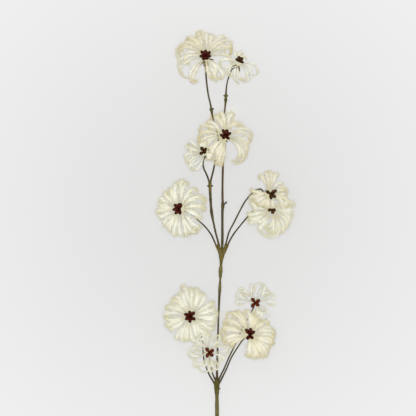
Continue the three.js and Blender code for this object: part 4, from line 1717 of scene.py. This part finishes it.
# Each stalk from where it leaves the stem to the neck of its bloom: x, y, z and radius.
STALKS = {
    8: [
        (-0.4, 174, 3.3, 1.3), (-2.6, 177.6, 3.2, 1.2), (-5, 181.6, 3, 1.05),
        (-8.1, 186.6, 2.7, 0.95), (-12.3, 196.2, 2.4, 0.9), (-15.6, 207.2, 2.2, 0.9),
        (-18, 231.2, 2.2, 0.85), (-20.4, 240, 3.2, 0.85), (-26.5, 250.5, 6.8, 0.85),
        (-31.2, 256.8, 11, 0.85),
    ],
    9: [
        (0, 176, 3.6, 1.2), (-1.6, 181.6, 4.8, 1.1), (-4, 187, 6.6, 1), (-5.8, 192, 8.6, 0.9),
        (-7.2, 200, 13, 0.85), (-8.3, 209, 18.6, 0.85),
    ],
    10: [
        (0.4, 176, 3.6, 1.2), (2, 182, 4.6, 1.1), (4.2, 187.2, 5.2, 1), (7.8, 194.4, 5.6, 0.9),
        (14.2, 209.2, 6.2, 0.85), (19.4, 220, 6.8, 0.85), (24.7, 231.3, 7.4, 0.85),
        (30.4, 244.6, 6, 0.85), (37.2, 257, 8, 0.85), (43, 268, 14, 0.85), (45.5, 274, 28, 0.85),
    ],
    11: [
        (0.4, 174.5, 3.3, 1.3), (3, 179, 3.2, 1.15), (6, 184.6, 3, 1), (10.6, 194, 2.7, 0.9),
        (17.8, 210.2, 2.4, 0.9), (24.6, 221.2, 2.4, 0.85), (32, 231.6, 5, 0.85),
        (37.6, 236, 10, 0.85),
    ],
    5: [
        (4.4, 330, 5.2, 1.3), (2.2, 338, 5.6, 1.5), (-0.2, 343, 5.6, 1.4), (-1.6, 346, 5.5, 0.95),
        (-6.5, 356.7, 5.2, 0.9), (-15.6, 368.5, 4.8, 0.9), (-22.8, 375, 4.8, 0.85),
        (-28.7, 380.1, 6, 0.85), (-34.5, 384.4, 9.4, 0.85), (-39.6, 387.4, 14, 0.85),
    ],
    6: [
        (6, 330, 5.4, 1.3), (8.6, 338, 7.2, 1.4), (10.4, 345, 8.8, 1.3), (11.4, 349, 9.6, 0.95),
        (14.3, 360, 12.2, 0.9), (20.9, 373, 17, 0.9), (27.4, 386, 23, 0.85),
        (34.4, 398.4, 30, 0.85), (40.3, 405.6, 35.5, 0.85), (46.2, 410.8, 39.6, 0.85),
        (52.6, 412, 42.8, 0.9),
    ],
    7: [
        (6.6, 330, 5, 1.3), (9.4, 337, 5.2, 1.5), (12.2, 343.4, 5.4, 1.4), (13.8, 347, 5.4, 0.95),
        (19.6, 357.4, 5.4, 0.9), (28.7, 369.2, 5.6, 0.9), (35.8, 377.6, 6.2, 0.95),
        (42.4, 384.8, 7.6, 0.85), (51.6, 391, 10.6, 0.85), (60.2, 392.4, 14.6, 0.85),
    ],
    4: [
        (-8.4, 417, 19.8, 1.2), (-10.4, 424.4, 21.6, 1), (-13.6, 432.2, 26, 0.95),
        (-15.6, 436.4, 28.6, 0.95), (-16.7, 442.4, 32, 0.95), (-15.9, 448.6, 35.8, 0.95),
    ],
    1: [
        (-8.4, 417, 19.8, 1.2), (-6.8, 425, 20.4, 1), (-4.8, 432.8, 20.4, 0.95),
        (-1.7, 447.4, 19, 0.95), (1.6, 461.4, 17.6, 0.95), (1.9, 470, 17.2, 0.95),
        (0.6, 478.4, 17.2, 0.95), (-2.6, 489.7, 17.8, 0.95), (-5.4, 500, 18.4, 0.95),
        (-6.5, 506.5, 18.8, 1.6), (-7.2, 511, 19, 1), (-10.3, 525.2, 19.4, 0.95),
        (-12.2, 538.4, 19.8, 0.95), (-13.2, 549.2, 20.8, 0.95), (-13.7, 558.8, 23, 0.95),
    ],
    3: [
        (7.2, 441, 8.4, 1), (7.9, 446, 10, 0.95), (9.2, 456.8, 14.6, 0.95),
        (9.6, 465.5, 18.6, 0.95),
    ],
}
FORK_BRANCH = [
    (5.2, 330, 5.6, 1.3), (3.6, 338, 7.4, 1.5), (2.2, 345, 8.6, 1.4), (1.4, 349, 9.2, 1.15),
    (-0.6, 356.1, 10.2, 1.1), (-3.8, 370.4, 12.6, 1.15), (-6.5, 384.8, 15, 1.75),
    (-7.2, 392, 16.2, 1.35), (-7.8, 401.6, 17.4, 1.5), (-8.3, 413, 19.2, 1.75), (-8.4, 419, 20, 2),
]

# The colours of the bark, by the age of each stretch.
OLIVE = "#706c43"
DARK_OLIVE = "#554f33"
JOINT_GREEN = "#5f5d2c"
WRAP_YELLOW = "#706838"
COLLAR_BROWN = "#665429"
MAUVE = "#5b4935"
STALK_BROWN = "#463e23"
RED_BROWN = "#6f3529"
STUB_END = "#333220"
BUD_GREEN = "#5e5a20"


@dataclass
class Stem:
    """The whole grown stem: the main stem, the stub, the fork branch and a stalk for each bloom."""

    neck_below: float = 8.0
    neck_radius: float = 0.9
    seat_below: float = 1.8
    receptacle_radius: float = 2.0
    sheath_end: float = 16.5  # the way along a stalk of the upper joint
    collar_end: float = 6.0  # the way along any other stalk

    def receptacle(self, bloom: Bloom) -> list[tuple[float, ...]]:
        """The straight neck and the swollen end that carry a bloom, as stations on its axis.

        Args:
            bloom: The bloom.

        Returns:
            Rows of x, y, z and radius.
        """
        seat = self.seat_below
        profile = (
            (self.neck_below, self.neck_radius), (seat + 2.6, 1.1), (seat + 1.1, self.receptacle_radius),
            (seat, 0.85 * self.receptacle_radius),
        )
        return [(*(bloom.middle - below * bloom.ahead), radius) for below, radius in profile]

    def shoots(self) -> list[Shoot]:
        """Every shoot with its tones, wraps and buds.

        Returns:
            The main stem, the stub, the fork branch and the stalks.
        """
        blooms = {bloom.number: bloom for bloom in BLOOMS}
        main = Shoot(
            "main_stem",
            [*MAIN_STEM, *self.receptacle(blooms[2])],
            (
                (0, OLIVE), (162, OLIVE), (167, JOINT_GREEN), (180, JOINT_GREEN), (185, MAUVE),
                (206, DARK_OLIVE), (286, DARK_OLIVE), (296, OLIVE), (312, OLIVE),
                (322, WRAP_YELLOW), (341, WRAP_YELLOW), (346, DARK_OLIVE), (392, DARK_OLIVE),
                (398, MAUVE), (508, MAUVE), (516, JOINT_GREEN), (525, JOINT_GREEN),
                (530, DARK_OLIVE), (562, DARK_OLIVE), (572, RED_BROWN),
            ),
            sides=24,
            wraps=(Wrap(165, 181, 3.2, 0.35), Wrap(325, 342, 3.6, 0.4)),
            lips=(Lip(167, 0.3, 1.0), Lip(180, 0.3, 1.0), Lip(318, 0.3, 1.0), Lip(525.5, 0.9, 0.7)),
            buds=(
                Bud((10.0, 523.5, 15), (-1, 0.7, 0.4), 3.0, 0.8),
                Bud((11.2, 523.5, 15), (1, 0.6, 0.4), 3.0, 0.8),
                Bud((2.0, 171.5, 4), (1, 0.5, 0.2), 2.4, 0.9),
                Bud((-2.2, 177.2, 4), (-1, 0.5, 0.2), 2.4, 0.9),
            ),
        )
        stub = Shoot("side_stub", SIDE_STUB, ((0, DARK_OLIVE), (6, STUB_END)))
        fork = Shoot(
            "fork_branch",
            FORK_BRANCH,
            (
                (0, WRAP_YELLOW), (13, WRAP_YELLOW), (15.5, COLLAR_BROWN), (18, MAUVE),
                (40, DARK_OLIVE), (78, DARK_OLIVE), (88, WRAP_YELLOW),
            ),
            sides=16,
            wraps=(Wrap(55, 74, 9.0, 0.2),),
            lips=(Lip(16, 0.25, 1.0), Lip(72, 0.25, 1.2)),
            buds=(
                Bud((-7.4, 415.6, 20.4), (1, 0.35, 0.3), 3.2, 0.9),
                Bud((-9.4, 415.6, 20.4), (-1, 0.3, 0.3), 3.0, 0.9),
            ),
        )
        shoots = [main, stub, fork]
        for number, stations in STALKS.items():
            shoots.append(self.stalk(blooms[number], stations))
        return shoots

    def stalk(self, bloom: Bloom, stations: list[tuple[float, ...]]) -> Shoot:
        """One bloom's stalk. Those of the upper joint leave it in a brown-edged sheath.

        Args:
            bloom: The bloom that it carries.
            stations: Its x, y, z and radius up to the bloom's neck.

        Returns:
            The stalk with its receptacle.
        """
        ends = [*stations, *self.receptacle(bloom)]
        length = float(np.linalg.norm(np.diff(np.array(ends)[:, :3], axis=0), axis=1).sum())
        sheathed = bloom.number in UPPER_JOINT_BLOOMS
        root = WRAP_YELLOW if sheathed else JOINT_GREEN
        bare = self.sheath_end if sheathed else self.collar_end
        tones = (
            (0, root), (bare - 3, root), (bare, COLLAR_BROWN if sheathed else DARK_OLIVE),
            (bare + 3, STALK_BROWN), (0.45 * length + bare, DARK_OLIVE), (length - 9, DARK_OLIVE),
            (length - 4, RED_BROWN),
        )
        lips = [Lip(bare - 0.5, 0.22, 0.9)] if sheathed else []
        buds = []
        if bloom.number == 1:
            lips += [Lip(94.5, 0.5, 0.8)]
            buds += [
                Bud((-6.2, 507.5, 19.2), (1, 0.7, 0.3), 3.2, 0.9),
                Bud((-7.0, 506.8, 19.2), (-1, 0.6, 0.3), 2.6, 0.9),
            ]
        return Shoot(bloom.named("stalk"), ends, tones, lips=tuple(lips), buds=tuple(buds))

    def build(self, finish: bpy.types.Material) -> None:
        """Every shoot as a piece."""
        for seed, shoot in enumerate(self.shoots(), start=1):
            shoot.build(seed, finish)


def main() -> None:
    """Builds the spray and its studio, and reports each piece."""
    logging.basicConfig(level=logging.INFO, format="%(message)s")
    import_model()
    bark = BarkFinish("stringy vine bark").material()
    sepal = SepalFinish().material()
    silks = {
        tones: SilkFinish(f"silky seed hair, {tones.name.lower()}", tones).material() for tones in Silk
    }
    coats = {
        tones: SeedCoatFinish(f"seed coat, {tones.name.lower()}", tones).material() for tones in SeedCoat
    }
    Stem().build(bark)
    for bloom in BLOOMS:
        Calyx(bloom).build(sepal)
        SeedStar(bloom).build(coats[bloom.coat])
        Plumes(bloom).build(silks[bloom.silk])
    Studio().build()
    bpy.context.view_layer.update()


if __name__ == "__main__":
    main()
